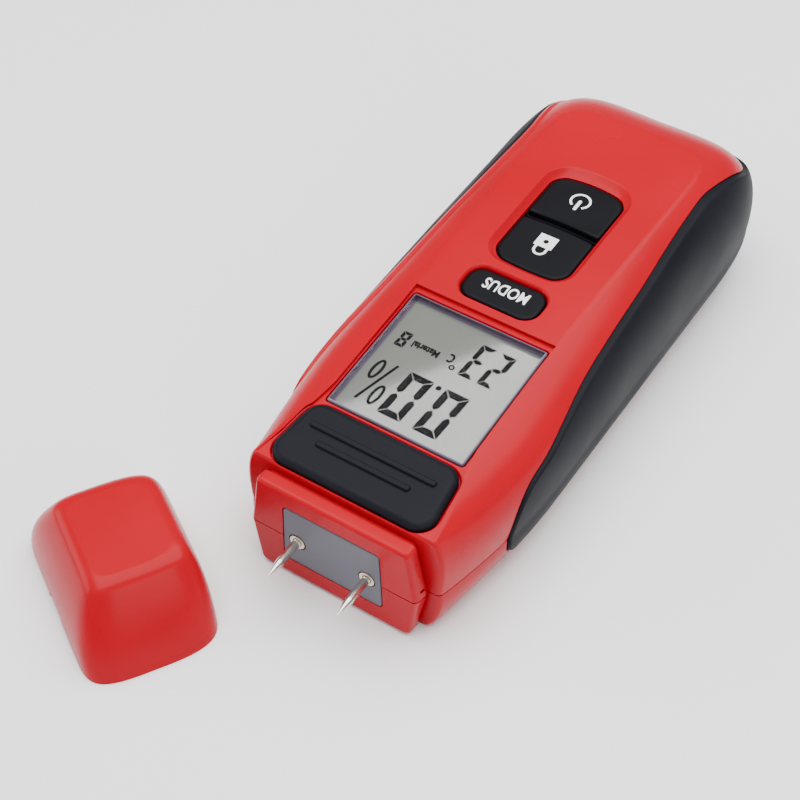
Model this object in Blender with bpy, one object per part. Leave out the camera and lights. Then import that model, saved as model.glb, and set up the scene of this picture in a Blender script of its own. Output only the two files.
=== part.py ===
"""Pin-type moisture meter for floors, with its protective cap standing beside it.

Metres, +Z up. The meter lies on its back on the plane z = 0. Y runs from the pins
(negative) to the tail (positive) and X across the housing. Stations along the housing
are measured from the nose face, where the two pins come out, and at() turns a station
into a Y coordinate.
"""

import math

import bmesh
import bpy
from mathutils import Matrix, Vector

MM = 0.001

# Housing
LENGTH = 154.5 * MM  # nose face to tail
WIDTH = 60.0 * MM  # across the grips, at the seam
SEAM_HEIGHT = 13.6 * MM  # the upper and lower shells part here
NOSE_LENGTH = 4.4 * MM  # the cap's seat ends at this step
FRONT_WIDTH = 48.8 * MM  # at the seam, just behind the step
FRONT_RUN = 42.0 * MM  # over this length the sides widen to WIDTH
TAIL_RUN = 43.0 * MM  # over this length the sides round off into the tail
PANEL_WIDTH = 39.6 * MM  # widest place of the top panel, at its creases
PANEL_TAIL_GAP = 18.5 * MM  # from the panel's rounded end to the tail
FRONT_RISE = 17.0 * MM  # crease above the seam, at the step
PANEL_RISE = 25.0 * MM  # crease above the seam, at its highest
BASE_WIDTH = 43.0 * MM  # the flat underside
WALL = 2.6 * MM
SEAM_GAP = 0.3 * MM
FIT = 0.3 * MM  # clearance between touching pieces

# Nose
NOSE_SEAM_WIDTH = 42.6 * MM
NOSE_TOP_WIDTH = 38.4 * MM
NOSE_BASE_WIDTH = 39.0 * MM
NOSE_TOP_RISE = 14.9 * MM
NOSE_BASE_DROP = 13.1 * MM
NOSE_GROOVE = 0.8 * MM
NOSE_WALL = 4.0 * MM

# Side grips
GRIP_DEPTH = 1.2 * MM
GRIP_TAIL_HALF_WIDTH = 19.5 * MM

# Display deck and lens
DECK_END = 61.8 * MM
DECK_FRONT_RISE = 16.5 * MM  # deck plane above the seam, at station 0
DECK_TILT = math.radians(4.78)
LENS_WIDTH = 34.9 * MM
LENS_LENGTH = 36.0 * MM
LENS_STATION = 42.05 * MM  # its middle
LENS_THICKNESS = 1.5 * MM
LENS_LEDGE = 1.6 * MM
LEDGE_THICKNESS = 0.9 * MM
LCD_THICKNESS = 2.0 * MM
HOLDER_WALL = 1.0 * MM

# Thumb pad
PAD_FRONT = 5.0 * MM
PAD_BACK = 22.7 * MM
PAD_FRONT_WIDTH = 41.6 * MM
PAD_BACK_WIDTH = 37.8 * MM
PAD_RADIUS = 4.4 * MM
PAD_RISE = 1.4 * MM
PAD_SINK = 0.7 * MM

# Keys
KEY_WIDTH = 19.2 * MM
KEY_RADIUS = 4.6 * MM
POWER_KEY_FRONT = 97.1 * MM
POWER_KEY_BACK = 112.6 * MM
HOLD_KEY_FRONT = 80.2 * MM
HOLD_KEY_BACK = 95.5 * MM
MODE_KEY_FRONT = 64.9 * MM
MODE_KEY_BACK = 74.4 * MM
MODE_KEY_WIDTH = 19.8 * MM
KEY_BOW = 1.6 * MM  # how far the outer ends of the key pair bulge
KEY_SINK = 1.4 * MM  # key tops below the panel
MODE_SINK = 0.5 * MM
SCOOP_DEPTH = 1.6 * MM
SCOOP_SLOPE = 2.3 * MM
MODE_SCOOP_DEPTH = 0.9 * MM
MODE_SCOOP_SLOPE = 0.5 * MM
KEY_TRAVEL = 0.7 * MM
KEY_FLANGE = 0.65 * MM
FLANGE_THICKNESS = 1.0 * MM

# Board and switches
BOARD_BASE = 22.6 * MM
BOARD_THICKNESS = 1.6 * MM
BOARD_FRONT = 12.5 * MM
BOARD_BACK = 125.0 * MM
BOARD_WIDTH = 40.0 * MM
BOARD_NECK_WIDTH = 27.0 * MM
BOARD_NECK_END = 25.0 * MM
SWITCH_SIZE = 6.0 * MM
SWITCH_HEIGHT = 3.5 * MM
PLUNGER_DIAMETER = 3.2 * MM
PLUNGER_HEIGHT = 1.8 * MM
STEM_DIAMETER = 4.0 * MM

# Electrodes
PIN_SPACING = 18.0 * MM
PIN_DIAMETER = 2.0 * MM
PIN_REACH = 11.2 * MM
PIN_TIP = 4.8 * MM
PIN_DEPTH = 9.0 * MM
SOCKET_NECK = 3.8 * MM
SOCKET_DIAMETER = 5.4 * MM
SOCKET_LENGTH = 12.0 * MM
PLATE_THICKNESS = 1.7 * MM
PLATE_TOP = (24.2 * MM, 9.9 * MM)  # width, height above the seam
PLATE_BASE = (25.5 * MM, -7.4 * MM)
CONTACT_WIDTH = 3.0 * MM
CONTACT_THICKNESS = 0.4 * MM

# Battery, its door and the compartment
BATTERY = (26.5 * MM, 46.0 * MM, 17.5 * MM)  # without its terminals
BATTERY_FRONT = 92.0 * MM
BATTERY_BASE = 3.2 * MM
CONNECTOR_THICKNESS = 2.4 * MM
BAY_WIDTH = 30.6 * MM
BAY_WALL = 1.2 * MM
BAY_FRONT = 85.0 * MM
BAY_BACK = 142.0 * MM
BAY_TOP = 19.6 * MM
DOOR_WIDTH = 27.2 * MM
DOOR_LIP = 1.2 * MM
DOOR_LIP_BASE = 1.3 * MM
DOOR_FRONT = 87.3 * MM
DOOR_THICKNESS = 2.3 * MM
DOOR_TAIL_TOP = 9.0 * MM
LEAD_DIAMETER = 1.4 * MM
LEAD_SPACING = 8.0 * MM

# Screws
SCREW_STATIONS = (18.0 * MM, 133.0 * MM)
SCREW_OFFSETS = (18.0 * MM, 19.6 * MM)
BOSS_DIAMETER = 5.6 * MM
SCREW_HEAD_DIAMETER = 4.2 * MM
SCREW_HEAD_BASE = 1.0 * MM
SCREW_HEAD_HEIGHT = 1.8 * MM
SCREW_DIAMETER = 2.2 * MM
SCREW_TOP = 21.0 * MM
BOARD_SCREWS = ((-16.0 * MM, 66.0 * MM), (16.0 * MM, 121.0 * MM))

# Protective cap
CAP_DEPTH = 19.5 * MM
CAP_HALF_WIDTH = 24.2 * MM
CAP_DROP = 14.0 * MM  # rim on the underside's side, from the seam
CAP_RISE = 17.4 * MM  # rim on the panel's side
CAP_WALL = 1.8 * MM
CAP_PLACE = (-41.9 * MM, -23.7 * MM)  # its middle on the table, from the middle of the nose face
CAP_TURN = math.radians(-31.9)
CAP_NOTCH = (7.6 * MM, 1.8 * MM)


# ---------------------------------------------------------------- scene and helpers

for old in list(bpy.data.objects):
    bpy.data.objects.remove(old, do_unlink=True)

PARTS = bpy.data.collections.new("moisture_meter")
TOOLS = bpy.data.collections.new("cutters")
bpy.context.scene.collection.children.link(PARTS)
bpy.context.scene.collection.children.link(TOOLS)
TOOLS.hide_render = True


def at(station):
    """The Y coordinate of a station along the housing."""
    return station - LENGTH / 2


def material(name, color, roughness, metallic=0.0, alpha=1.0):
    made = bpy.data.materials.get(name) or bpy.data.materials.new(name)
    made.use_nodes = True
    shader = made.node_tree.nodes["Principled BSDF"]
    shader.inputs["Base Color"].default_value = (*color, 1)
    shader.inputs["Roughness"].default_value = roughness
    shader.inputs["Metallic"].default_value = metallic
    shader.inputs["Alpha"].default_value = alpha
    return made


def from_bmesh(name, mesh_data, finish=None):
    """A part when it has a finish, else a cutter."""
    bmesh.ops.recalc_face_normals(mesh_data, faces=mesh_data.faces)
    mesh = bpy.data.meshes.new(name)
    mesh_data.to_mesh(mesh)
    mesh_data.free()
    made = bpy.data.objects.new(name, mesh)
    if finish:
        PARTS.objects.link(made)
        mesh.materials.append(finish)
    else:
        TOOLS.objects.link(made)
        made.hide_render = True
        made.display_type = "WIRE"
    return made


def settle(made):
    """Replaces the object's mesh by what its modifiers make of it."""
    graph = bpy.context.evaluated_depsgraph_get()
    mesh = bpy.data.meshes.new_from_object(made.evaluated_get(graph))
    made.modifiers.clear()
    made.data = mesh
    return made


def combine(made, other, operation):
    modifier = made.modifiers.new(operation.lower(), "BOOLEAN")
    modifier.operation = operation
    modifier.object = other
    return settle(made)


def cut(made, *others):
    for other in others:
        combine(made, other, "DIFFERENCE")
    return made


def join(made, *others):
    for other in others:
        combine(made, other, "UNION")
    return made


def keep(made, *others):
    for other in others:
        combine(made, other, "INTERSECT")
    return made


def box(name, low, high, finish=None):
    shape = bmesh.new()
    bmesh.ops.create_cube(shape, size=1)
    size = [b - a for a, b in zip(low, high)]
    middle = [(a + b) / 2 for a, b in zip(low, high)]
    bmesh.ops.scale(shape, vec=size, verts=shape.verts)
    bmesh.ops.translate(shape, vec=middle, verts=shape.verts)
    return from_bmesh(name, shape, finish)


def rod(name, start, end, radius, finish=None, end_radius=None, sides=24):
    """A cylinder or cone from start to end."""
    shape = bmesh.new()
    along = Vector(end) - Vector(start)
    bmesh.ops.create_cone(
        shape, cap_ends=True, segments=sides, radius1=radius,
        radius2=radius if end_radius is None else end_radius, depth=along.length,
    )
    turn = Vector((0, 0, 1)).rotation_difference(along).to_matrix().to_4x4()
    middle = Matrix.Translation((Vector(start) + Vector(end)) / 2)
    bmesh.ops.transform(shape, matrix=middle @ turn, verts=shape.verts)
    return from_bmesh(name, shape, finish)


def prism(name, outlines, heights, finish=None, place=None):
    """A closed solid through like outlines, each a list of (x, y), at rising heights."""
    shape = bmesh.new()
    rings = [
        [shape.verts.new((x, y, z)) for x, y in outline]
        for outline, z in zip(outlines, heights)
    ]
    for lower, upper in zip(rings, rings[1:]):
        for i in range(len(lower)):
            j = (i + 1) % len(lower)
            shape.faces.new((lower[i], lower[j], upper[j], upper[i]))
    shape.faces.new(reversed(rings[0]))
    shape.faces.new(rings[-1])
    if place:
        bmesh.ops.transform(shape, matrix=place, verts=shape.verts)
    return from_bmesh(name, shape, finish)


def rounded(corners, radius, steps=6):
    """An outline through corners given as (x, y), each rounded by an arc."""
    outline = []
    for i, corner in enumerate(corners):
        here = Vector(corner)
        before = (Vector(corners[i - 1]) - here).normalized()
        after = (Vector(corners[(i + 1) % len(corners)]) - here).normalized()
        half = before.angle(after) / 2
        middle = here + (before + after).normalized() * radius / math.sin(half)
        start = here + before * radius / math.tan(half) - middle
        turn = start.angle_signed(here + after * radius / math.tan(half) - middle)
        for step in range(steps + 1):
            outline.append(middle + Matrix.Rotation(-turn * step / steps, 2) @ start)
    return [tuple(point) for point in outline]


def rectangle(width, front, back, radius, bow_front=0.0, bow_back=0.0, steps=6):
    """A rounded rectangle whose front and back edges may bulge."""
    half = width / 2
    if radius <= 0:
        return [(half, front), (half, back), (-half, back), (-half, front)]
    corners = [(half, front), (half, back), (-half, back), (-half, front)]
    outline = []
    for x, y in rounded(corners, radius, steps):
        across = max(0.0, 1 - (x / half) ** 2)
        forward = (y - front) / (back - front)
        outline.append((x, y + bow_back * across * forward - bow_front * across * (1 - forward)))
    return outline


def smooth_path(points, steps, closed=False):
    """Catmull-Rom points through the given ones."""
    count = len(points)
    spans = count if closed else count - 1
    path = []
    for i in range(spans):
        near = [
            Vector(points[k % count] if closed else points[min(max(k, 0), count - 1)])
            for k in (i - 1, i, i + 1, i + 2)
        ]
        for step in range(steps):
            t = step / steps
            path.append(
                0.5 * (
                    2 * near[1] + (near[2] - near[0]) * t
                    + (2 * near[0] - 5 * near[1] + 4 * near[2] - near[3]) * t ** 2
                    + (3 * near[1] - near[0] - 3 * near[2] + near[3]) * t ** 3
                )
            )
    if not closed:
        path.append(Vector(points[-1]))
    return path


# ---------------------------------------------------------------- housing skin

TAIL_POWER = 4.7  # squareness of the rounded tail
CREASE_CLEAR = 18.2 * MM  # crease half width beside the display
CREASE_FLARE = 4.8 * MM  # extra half width where the crease meets the step
CREASE_STRAIGHT = 33.0 * MM  # behind this station the crease no longer flares
EDGE_ROUND = 1.0 * MM


def crease_rise(station):
    """Height of the panel's crease above the seam: a shallow arch, highest near the tail."""
    top = LENGTH * 0.845
    drop = (PANEL_RISE - FRONT_RISE) / (top - NOSE_LENGTH) ** 2
    return PANEL_RISE - drop * (top - station) ** 2


def seam_half(station):
    run = min(1.0, max(0.0, (station - NOSE_LENGTH) / FRONT_RUN))
    return WIDTH / 2 - (WIDTH - FRONT_WIDTH) / 2 * (1 - run) ** 2


def crease_half(station):
    tail = LENGTH - PANEL_TAIL_GAP - 18 * MM
    widen = (station - CREASE_STRAIGHT) / (tail - CREASE_STRAIGHT)
    if widen > 0:
        return CREASE_CLEAR + (PANEL_WIDTH / 2 - CREASE_CLEAR) * min(1.0, widen)
    run = (CREASE_STRAIGHT - station) / (CREASE_STRAIGHT - NOSE_LENGTH)
    return CREASE_CLEAR + CREASE_FLARE * run ** 1.3


def base_half(station):
    inset = 3.9 * MM + (seam_half(station) - FRONT_WIDTH / 2) * 0.8
    return min(seam_half(station) - inset, BASE_WIDTH / 2)


def outline_point(way, half, end, run):
    """Right-hand outline: way 0 to 1 runs along the side, 1 to 2 round the tail."""
    straight = end - run
    if way <= 1:
        station = NOSE_LENGTH + way * (straight - NOSE_LENGTH)
        return Vector((half(station), station))
    angle = (way - 1) * math.pi / 2
    along = math.sin(angle) ** (2 / TAIL_POWER)
    across = max(0.0, math.cos(angle)) ** (2 / TAIL_POWER)
    return Vector((half(straight) * across, straight + run * along))


def flank(lower, upper, low, high, bulge, pull, lift, count):
    """Points of a rounded flank from the seam outline to a crease or base outline."""
    away = lower - upper
    sideways_share = away.normalized().x if away.length else 0.0
    first = lower + Vector((sideways_share * bulge, 0.0))
    second = upper + away * (pull[0] + (pull[1] - pull[0]) * sideways_share)
    points = []
    for i in range(count + 1):
        t = i / count
        weights = ((1 - t) ** 3, 3 * t * (1 - t) ** 2, 3 * t ** 2 * (1 - t), t ** 3)
        flat = lower * weights[0] + first * weights[1] + second * weights[2] + upper * weights[3]
        span = high - low
        rise = low + span * (lift[0] * weights[1] + lift[1] * weights[2] + weights[3])
        points.append(Vector((flat.x, flat.y, rise)))
    return points


def skin(name, inset=0.0, side=15, tail=9, lower=4, upper=7, finish=None):
    """The closed housing surface behind the step, moved inwards by inset."""
    ways = [0.0, 0.003, 0.010] + [0.05 + 0.95 * i / side for i in range(side)]
    ways += [1 + i / tail for i in range(tail + 1)]
    start = NOSE_LENGTH + inset * (NOSE_WALL / WALL)
    shape = bmesh.new()
    columns = []
    for way in ways:
        behind = way * (LENGTH - TAIL_RUN - NOSE_LENGTH)
        round_off = max(0.0, EDGE_ROUND - behind)
        extra = inset + EDGE_ROUND - math.sqrt(max(0.0, EDGE_ROUND ** 2 - round_off ** 2))
        seam = outline_point(way, lambda s: seam_half(s) - extra, LENGTH - inset, TAIL_RUN)
        crease = outline_point(
            way, lambda s: crease_half(s) - extra * 0.6,
            LENGTH - PANEL_TAIL_GAP - inset * 0.6, 18 * MM,
        )
        base = outline_point(way, lambda s: base_half(s) - extra * 0.6, LENGTH - 8.5 * MM - inset, TAIL_RUN)
        seam.y, crease.y, base.y = (max(p.y, start) for p in (seam, crease, base))
        top = SEAM_HEIGHT + crease_rise(crease.y) - extra
        swell = 1.2 * MM + 1.0 * MM * min(1.0, behind / FRONT_RUN)
        bottom = flank(seam, base, SEAM_HEIGHT, extra, 0.8 * MM, (0.5, 0.55), (0.45, 1.0), lower)
        sides = flank(seam, crease, SEAM_HEIGHT, top, swell, (0.73, 0.88), (0.62, 0.86), upper)
        chain = [Vector((0, base.y, extra))] + bottom[::-1] + sides[1:] + [Vector((0, crease.y, top))]
        columns.append([shape.verts.new((p.x, at(p.y), p.z)) for p in chain])
    for near, far in zip(columns, columns[1:]):
        for i in range(len(near) - 1):
            shape.faces.new((near[i], far[i], far[i + 1], near[i + 1]))
    shape.faces.new(columns[0])
    bmesh.ops.remove_doubles(shape, verts=shape.verts, dist=1e-6)
    bmesh.ops.dissolve_degenerate(shape, edges=shape.edges, dist=1e-6)
    twin = bmesh.ops.duplicate(shape, geom=shape.verts[:] + shape.edges[:] + shape.faces[:])
    copied = [item for item in twin["geom"] if isinstance(item, bmesh.types.BMVert)]
    bmesh.ops.scale(shape, vec=(-1, 1, 1), verts=copied)
    bmesh.ops.remove_doubles(shape, verts=shape.verts, dist=1e-6)
    return from_bmesh(name, shape, finish)


def nose_skin(name, inset=0.0):
    """The narrower nose in front of the step, with a groove behind it."""
    stations = (
        (inset, 0.5 * MM), (0.6 * MM + inset, 0.0), (3.3 * MM, 0.0), (3.4 * MM, NOSE_GROOVE),
        (NOSE_LENGTH + 2 * MM, NOSE_GROOVE),
    )
    outlines = []
    heights = []
    for station, shrink in stations:
        less = shrink + inset
        flare = 0.8 * MM * station / NOSE_LENGTH
        half = NOSE_SEAM_WIDTH / 2 + flare - less
        corners = [
            (half, 0.0), (NOSE_TOP_WIDTH / 2 - less, NOSE_TOP_RISE - less),
            (-NOSE_TOP_WIDTH / 2 + less, NOSE_TOP_RISE - less), (-half, 0.0),
            (-NOSE_BASE_WIDTH / 2 + less, -NOSE_BASE_DROP + less),
            (NOSE_BASE_WIDTH / 2 - less, -NOSE_BASE_DROP + less),
        ]
        outlines.append([(x, y) for x, y in rounded(corners, 1.0 * MM, 3)])
        heights.append(-station)
    upright = Matrix.Translation((0, at(0), SEAM_HEIGHT)) @ Matrix.Rotation(math.pi / 2, 4, "X")
    return prism(name, outlines, heights, None, upright)


def deck_frame(depth, station=LENS_STATION):
    """A matrix on the display deck, with its own Z along the deck's normal."""
    rise = SEAM_HEIGHT + DECK_FRONT_RISE + station * math.tan(DECK_TILT)
    tilt = Matrix.Rotation(DECK_TILT, 4, "X")
    return Matrix.Translation((0, at(station), rise)) @ tilt @ Matrix.Translation((0, 0, -depth))


def panel_frame(station, depth=0.0):
    """A matrix on the top panel, with its own Z along the panel's normal."""
    step = 1 * MM
    slope = math.atan2(crease_rise(station + step) - crease_rise(station - step), 2 * step)
    place = Matrix.Translation((0, at(station), SEAM_HEIGHT + crease_rise(station)))
    return place @ Matrix.Rotation(slope, 4, "X") @ Matrix.Translation((0, 0, -depth))


def duplicate(source, name, finish=None, mirrored=False):
    """A copy with its own mesh, a part when it has a finish."""
    shape = bmesh.new()
    shape.from_mesh(source.data)
    if mirrored:
        bmesh.ops.scale(shape, vec=(-1, 1, 1), verts=shape.verts)
    made = from_bmesh(name, shape, finish)
    if finish:
        made.data.materials.clear()
        made.data.materials.append(finish)
    return made


def grown(outline, by):
    """The outline moved outwards by a distance, point by point."""
    area = sum(a[0] * b[1] - b[0] * a[1] for a, b in zip(outline, outline[1:] + outline[:1]))
    side = 1 if area > 0 else -1
    moved = []
    for i, point in enumerate(outline):
        before = Vector(outline[i - 1])
        after = Vector(outline[(i + 1) % len(outline)])
        along = (after - before).normalized()
        moved.append((point[0] + along.y * by * side, point[1] - along.x * by * side))
    return moved


def deck_outline(outline):
    """Stations along the deck, turned into distances from the lens's middle."""
    return [(x, (y - LENS_STATION) / math.cos(DECK_TILT)) for x, y in outline]


def centred(outline, station):
    return [(x, y - station) for x, y in outline]


FAR = 0.2
red = material("red_abs", (0.78, 0.012, 0.03), 0.16)
soft = material("soft_rubber", (0.03, 0.03, 0.045), 0.6)
steel = material("pin_steel", (0.75, 0.72, 0.68), 0.25, 1.0)
brass = material("brass", (0.72, 0.53, 0.25), 0.3, 1.0)
key_rubber = material("key_rubber", (0.022, 0.022, 0.032), 0.5)
grey = material("grey_plastic", (0.16, 0.16, 0.19), 0.5)
black = material("black_plastic", (0.02, 0.02, 0.022), 0.45)
clear = material("clear_lens", (0.8, 0.8, 0.82), 0.05, 0.0, 0.35)
display = material("lcd", (0.42, 0.44, 0.4), 0.2)
green = material("board_green", (0.02, 0.12, 0.05), 0.4)
zinc = material("zinc", (0.6, 0.6, 0.62), 0.35, 1.0)
foam = material("foam", (0.05, 0.05, 0.05), 0.95)
silicone = material("strip_rubber", (0.5, 0.35, 0.4), 0.7)
lead_red = material("lead_red", (0.6, 0.02, 0.02), 0.45)
lead_black = material("lead_black", (0.02, 0.02, 0.02), 0.45)
label = material("battery_wrap", (0.1, 0.1, 0.12), 0.35)

above_seam = box("above_seam", (-FAR, -FAR, SEAM_HEIGHT + SEAM_GAP / 2), (FAR, FAR, FAR))
below_seam = box("below_seam", (-FAR, -FAR, -FAR), (FAR, FAR, SEAM_HEIGHT - SEAM_GAP / 2))
outer = skin("outer_skin")
grip_floor = skin("grip_floor", GRIP_DEPTH)
grip_seat = skin("grip_seat", GRIP_DEPTH + FIT)
boss_limit = skin("boss_limit", 1.6 * MM, 10, 7, 3, 4)
cavity = skin("cavity", WALL, 10, 7, 3, 4)
housing = join(duplicate(outer, "housing"), nose_skin("nose_skin"))


# ---------------------------------------------------------------- side grips

GRIP_SIDE = (  # station and height above the seam, from the front tip over the top
    (25.6, -2.4), (26.0, 1.4), (27.2, 5.6), (29.6, 9.2), (33.6, 11.7), (40.0, 13.3),
    (48.5, 15.6), (60.0, 18.0), (75.0, 19.7), (91.0, 21.0), (103.0, 22.0), (115.0, 22.7),
    (126.0, 22.8), (137.0, 20.6), (147.0, 16.0), (165.0, 9.0), (165.0, -9.6), (120.0, -10.2),
    (60.0, -10.0), (37.0, -9.4), (29.6, -7.6), (26.6, -5.2),
)
sideways = Matrix(((0, 0, 1, 0), (1, 0, 0, at(0)), (0, 1, 0, SEAM_HEIGHT), (0, 0, 0, 1)))


def grip_prism(name, clearance):
    stretch = (LENGTH - 25 * MM) / (129.5 * MM)
    points = [(25 * MM + (y * MM - 25 * MM) * stretch, z * MM) for y, z in GRIP_SIDE]
    outline = [tuple(p) for p in smooth_path(points, 4, closed=True)]
    inner = GRIP_TAIL_HALF_WIDTH - clearance
    return prism(name, [grown(outline, clearance)] * 2, [inner, WIDTH], None, sideways)


right_grip = cut(duplicate(outer, "right_grip", soft), grip_floor)
keep(right_grip, grip_prism("grip_prism", 0.0))
left_grip = duplicate(right_grip, "left_grip", soft, mirrored=True)
right_recess = cut(grip_prism("right_recess", FIT), grip_seat)
left_recess = duplicate(right_recess, "left_recess", mirrored=True)


# ---------------------------------------------------------------- cutters shared by both shells

upright = Matrix.Translation((0, at(0), SEAM_HEIGHT)) @ Matrix.Rotation(math.pi / 2, 4, "X")
plate_corners = [
    (PLATE_BASE[0] / 2, PLATE_BASE[1]), (PLATE_TOP[0] / 2, PLATE_TOP[1]),
    (-PLATE_TOP[0] / 2, PLATE_TOP[1]), (-PLATE_BASE[0] / 2, PLATE_BASE[1]),
]
plate_outline = rounded(plate_corners, 1.0 * MM, 4)
PLATE_SEAT = PLATE_THICKNESS + FIT
plate_pocket = prism(
    "plate_pocket", [grown(plate_outline, FIT)] * 2, [-PLATE_SEAT, 5 * MM], None, upright
)
socket_holes = [
    rod(
        f"socket_hole_{side}", (side * PIN_SPACING / 2, at(1 * MM), SEAM_HEIGHT),
        (side * PIN_SPACING / 2, at(NOSE_LENGTH + NOSE_WALL + 2 * MM), SEAM_HEIGHT),
        SOCKET_DIAMETER / 2 + FIT,
    )
    for side in (-1, 1)
]
screw_places = [
    (side * offset, station)
    for offset, station in zip(SCREW_OFFSETS, SCREW_STATIONS)
    for side in (-1, 1)
]


# ---------------------------------------------------------------- upper shell

upper_shell = keep(duplicate(housing, "upper_shell", red), above_seam)
cut(upper_shell, cavity)

bosses = [
    rod(f"boss_{i}", (x, at(y), SEAM_HEIGHT + SEAM_GAP / 2), (x, at(y), 60 * MM), BOSS_DIAMETER / 2)
    for i, (x, y) in enumerate(screw_places)
]
BOARD_TOP = BOARD_BASE + BOARD_THICKNESS
bosses += [
    rod(f"board_boss_{i}", (x, at(y), BOARD_TOP + FIT), (x, at(y), 60 * MM), 2.2 * MM)
    for i, (x, y) in enumerate(BOARD_SCREWS)
]
lens_front = LENS_STATION - LENS_LENGTH / 2
lens_back = LENS_STATION + LENS_LENGTH / 2
ledge_depth = LENS_LEDGE + LEDGE_THICKNESS
ledge = prism(
    "ledge", [rectangle(LENS_WIDTH + 4 * MM, -LENS_LENGTH / 2 - 2 * MM, LENS_LENGTH / 2 + 2 * MM, 0)] * 2,
    [-ledge_depth, 0], None, deck_frame(0),
)
for feature in bosses + [ledge]:
    join(upper_shell, keep(feature, boss_limit))

deck_sides = [(crease_half(s * MM) - 0.5 * MM, s * MM) for s in (2, 6, 10, 14, 18, 23, 28, 33, 48)]
deck_sides.append((crease_half(DECK_END) - 0.5 * MM, DECK_END))
deck_cut = deck_outline(deck_sides + [(-x, y) for x, y in reversed(deck_sides)])
cut(upper_shell, prism("deck_cut", [deck_cut] * 2, [0, 20 * MM], None, deck_frame(0)))


def lens_rectangle(grow):
    return rectangle(
        LENS_WIDTH + 2 * grow, -LENS_LENGTH / 2 - grow, LENS_LENGTH / 2 + grow, max(0.6 * MM + grow, 0.2 * MM), steps=3
    )


cut(
    upper_shell,
    prism("lens_pocket", [lens_rectangle(FIT)] * 2, [-LENS_LEDGE, 5 * MM], None, deck_frame(0)),
    prism("window", [lens_rectangle(-1.6 * MM)] * 2, [-ledge_depth - 1 * MM, 0], None, deck_frame(0)),
)

pad_corners = [
    (PAD_FRONT_WIDTH / 2, PAD_FRONT), (PAD_BACK_WIDTH / 2, PAD_BACK),
    (-PAD_BACK_WIDTH / 2, PAD_BACK), (-PAD_FRONT_WIDTH / 2, PAD_FRONT),
]
pad_outline = deck_outline(rounded(pad_corners, PAD_RADIUS, 7))
pad_pocket = prism(
    "pad_pocket", [grown(pad_outline, FIT)] * 2, [-PAD_SINK - FIT, 5 * MM], None, deck_frame(0)
)
cut(upper_shell, pad_pocket)

KEYS = {
    "power": (POWER_KEY_FRONT, POWER_KEY_BACK, KEY_WIDTH, 0.0, KEY_BOW, KEY_SINK),
    "hold": (HOLD_KEY_FRONT, HOLD_KEY_BACK, KEY_WIDTH, KEY_BOW, 0.0, KEY_SINK),
    "mode": (MODE_KEY_FRONT, MODE_KEY_BACK, MODE_KEY_WIDTH, 0.0, 0.0, MODE_SINK),
}


def key_outline(name, grow=0.0):
    front, back, width, bow_front, bow_back, _ = KEYS[name]
    radii = {"power": (0.8 * MM, KEY_RADIUS), "hold": (KEY_RADIUS, 0.8 * MM), "mode": (3.6 * MM, 3.6 * MM)}
    front_radius, back_radius = radii[name]
    middle = (front + back) / 2
    outline = rectangle(width, front, back, front_radius, bow_front, bow_back)
    other = rectangle(width, front, back, back_radius, bow_front, bow_back)
    mixed = [a if a[1] < middle else b for a, b in zip(outline, other)]
    return grown(mixed, grow) if grow else mixed


def scoop(name, outline, station, depth, slope):
    """A recess whose walls slope out to the panel."""
    flat = centred(outline, station)
    rings = [grown(flat, 0.3 * MM), grown(flat, 0.3 * MM + slope), grown(flat, 0.3 * MM + slope * 1.5)]
    return prism(name, rings, [-depth, 0, depth / 2], None, panel_frame(station))


pair_station = (HOLD_KEY_FRONT + POWER_KEY_BACK) / 2
pair_outline = rectangle(KEY_WIDTH, HOLD_KEY_FRONT, POWER_KEY_BACK, KEY_RADIUS, KEY_BOW, KEY_BOW)
mode_station = (MODE_KEY_FRONT + MODE_KEY_BACK) / 2
cut(
    upper_shell,
    scoop("pair_scoop", pair_outline, pair_station, SCOOP_DEPTH, SCOOP_SLOPE),
    scoop("mode_scoop", key_outline("mode"), mode_station, MODE_SCOOP_DEPTH, MODE_SCOOP_SLOPE),
)
for name, (front, back, *_) in KEYS.items():
    station = (front + back) / 2
    hole = centred(key_outline(name, FIT), station)
    cut(
        upper_shell,
        prism(f"{name}_hole", [hole] * 2, [-WALL - 1.5 * MM, 2 * MM], None, panel_frame(station)),
    )

for side in (-1, 1):
    edge = side * NOSE_SEAM_WIDTH / 2
    low = (min(edge - side * 0.9 * MM, edge + side * 3 * MM), at(1.9 * MM), SEAM_HEIGHT + 1.7 * MM)
    high = (max(edge - side * 0.9 * MM, edge + side * 3 * MM), at(3.9 * MM), SEAM_HEIGHT + 2.4 * MM)
    cut(upper_shell, box(f"snap_slit_{side}", low, high))

cut(upper_shell, right_recess, left_recess, plate_pocket, *socket_holes)
for i, (x, y) in enumerate(screw_places):
    top = SCREW_TOP + 1 * MM
    cut(upper_shell, rod(f"pilot_{i}", (x, at(y), 0), (x, at(y), top), SCREW_DIAMETER / 2 + FIT, sides=14))
for i, (x, y) in enumerate(BOARD_SCREWS):
    top = BOARD_TOP + 5 * MM
    cut(upper_shell, rod(f"board_pilot_{i}", (x, at(y), 0), (x, at(y), top), 1.3 * MM, sides=12))


# ---------------------------------------------------------------- lower shell and battery door

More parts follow.
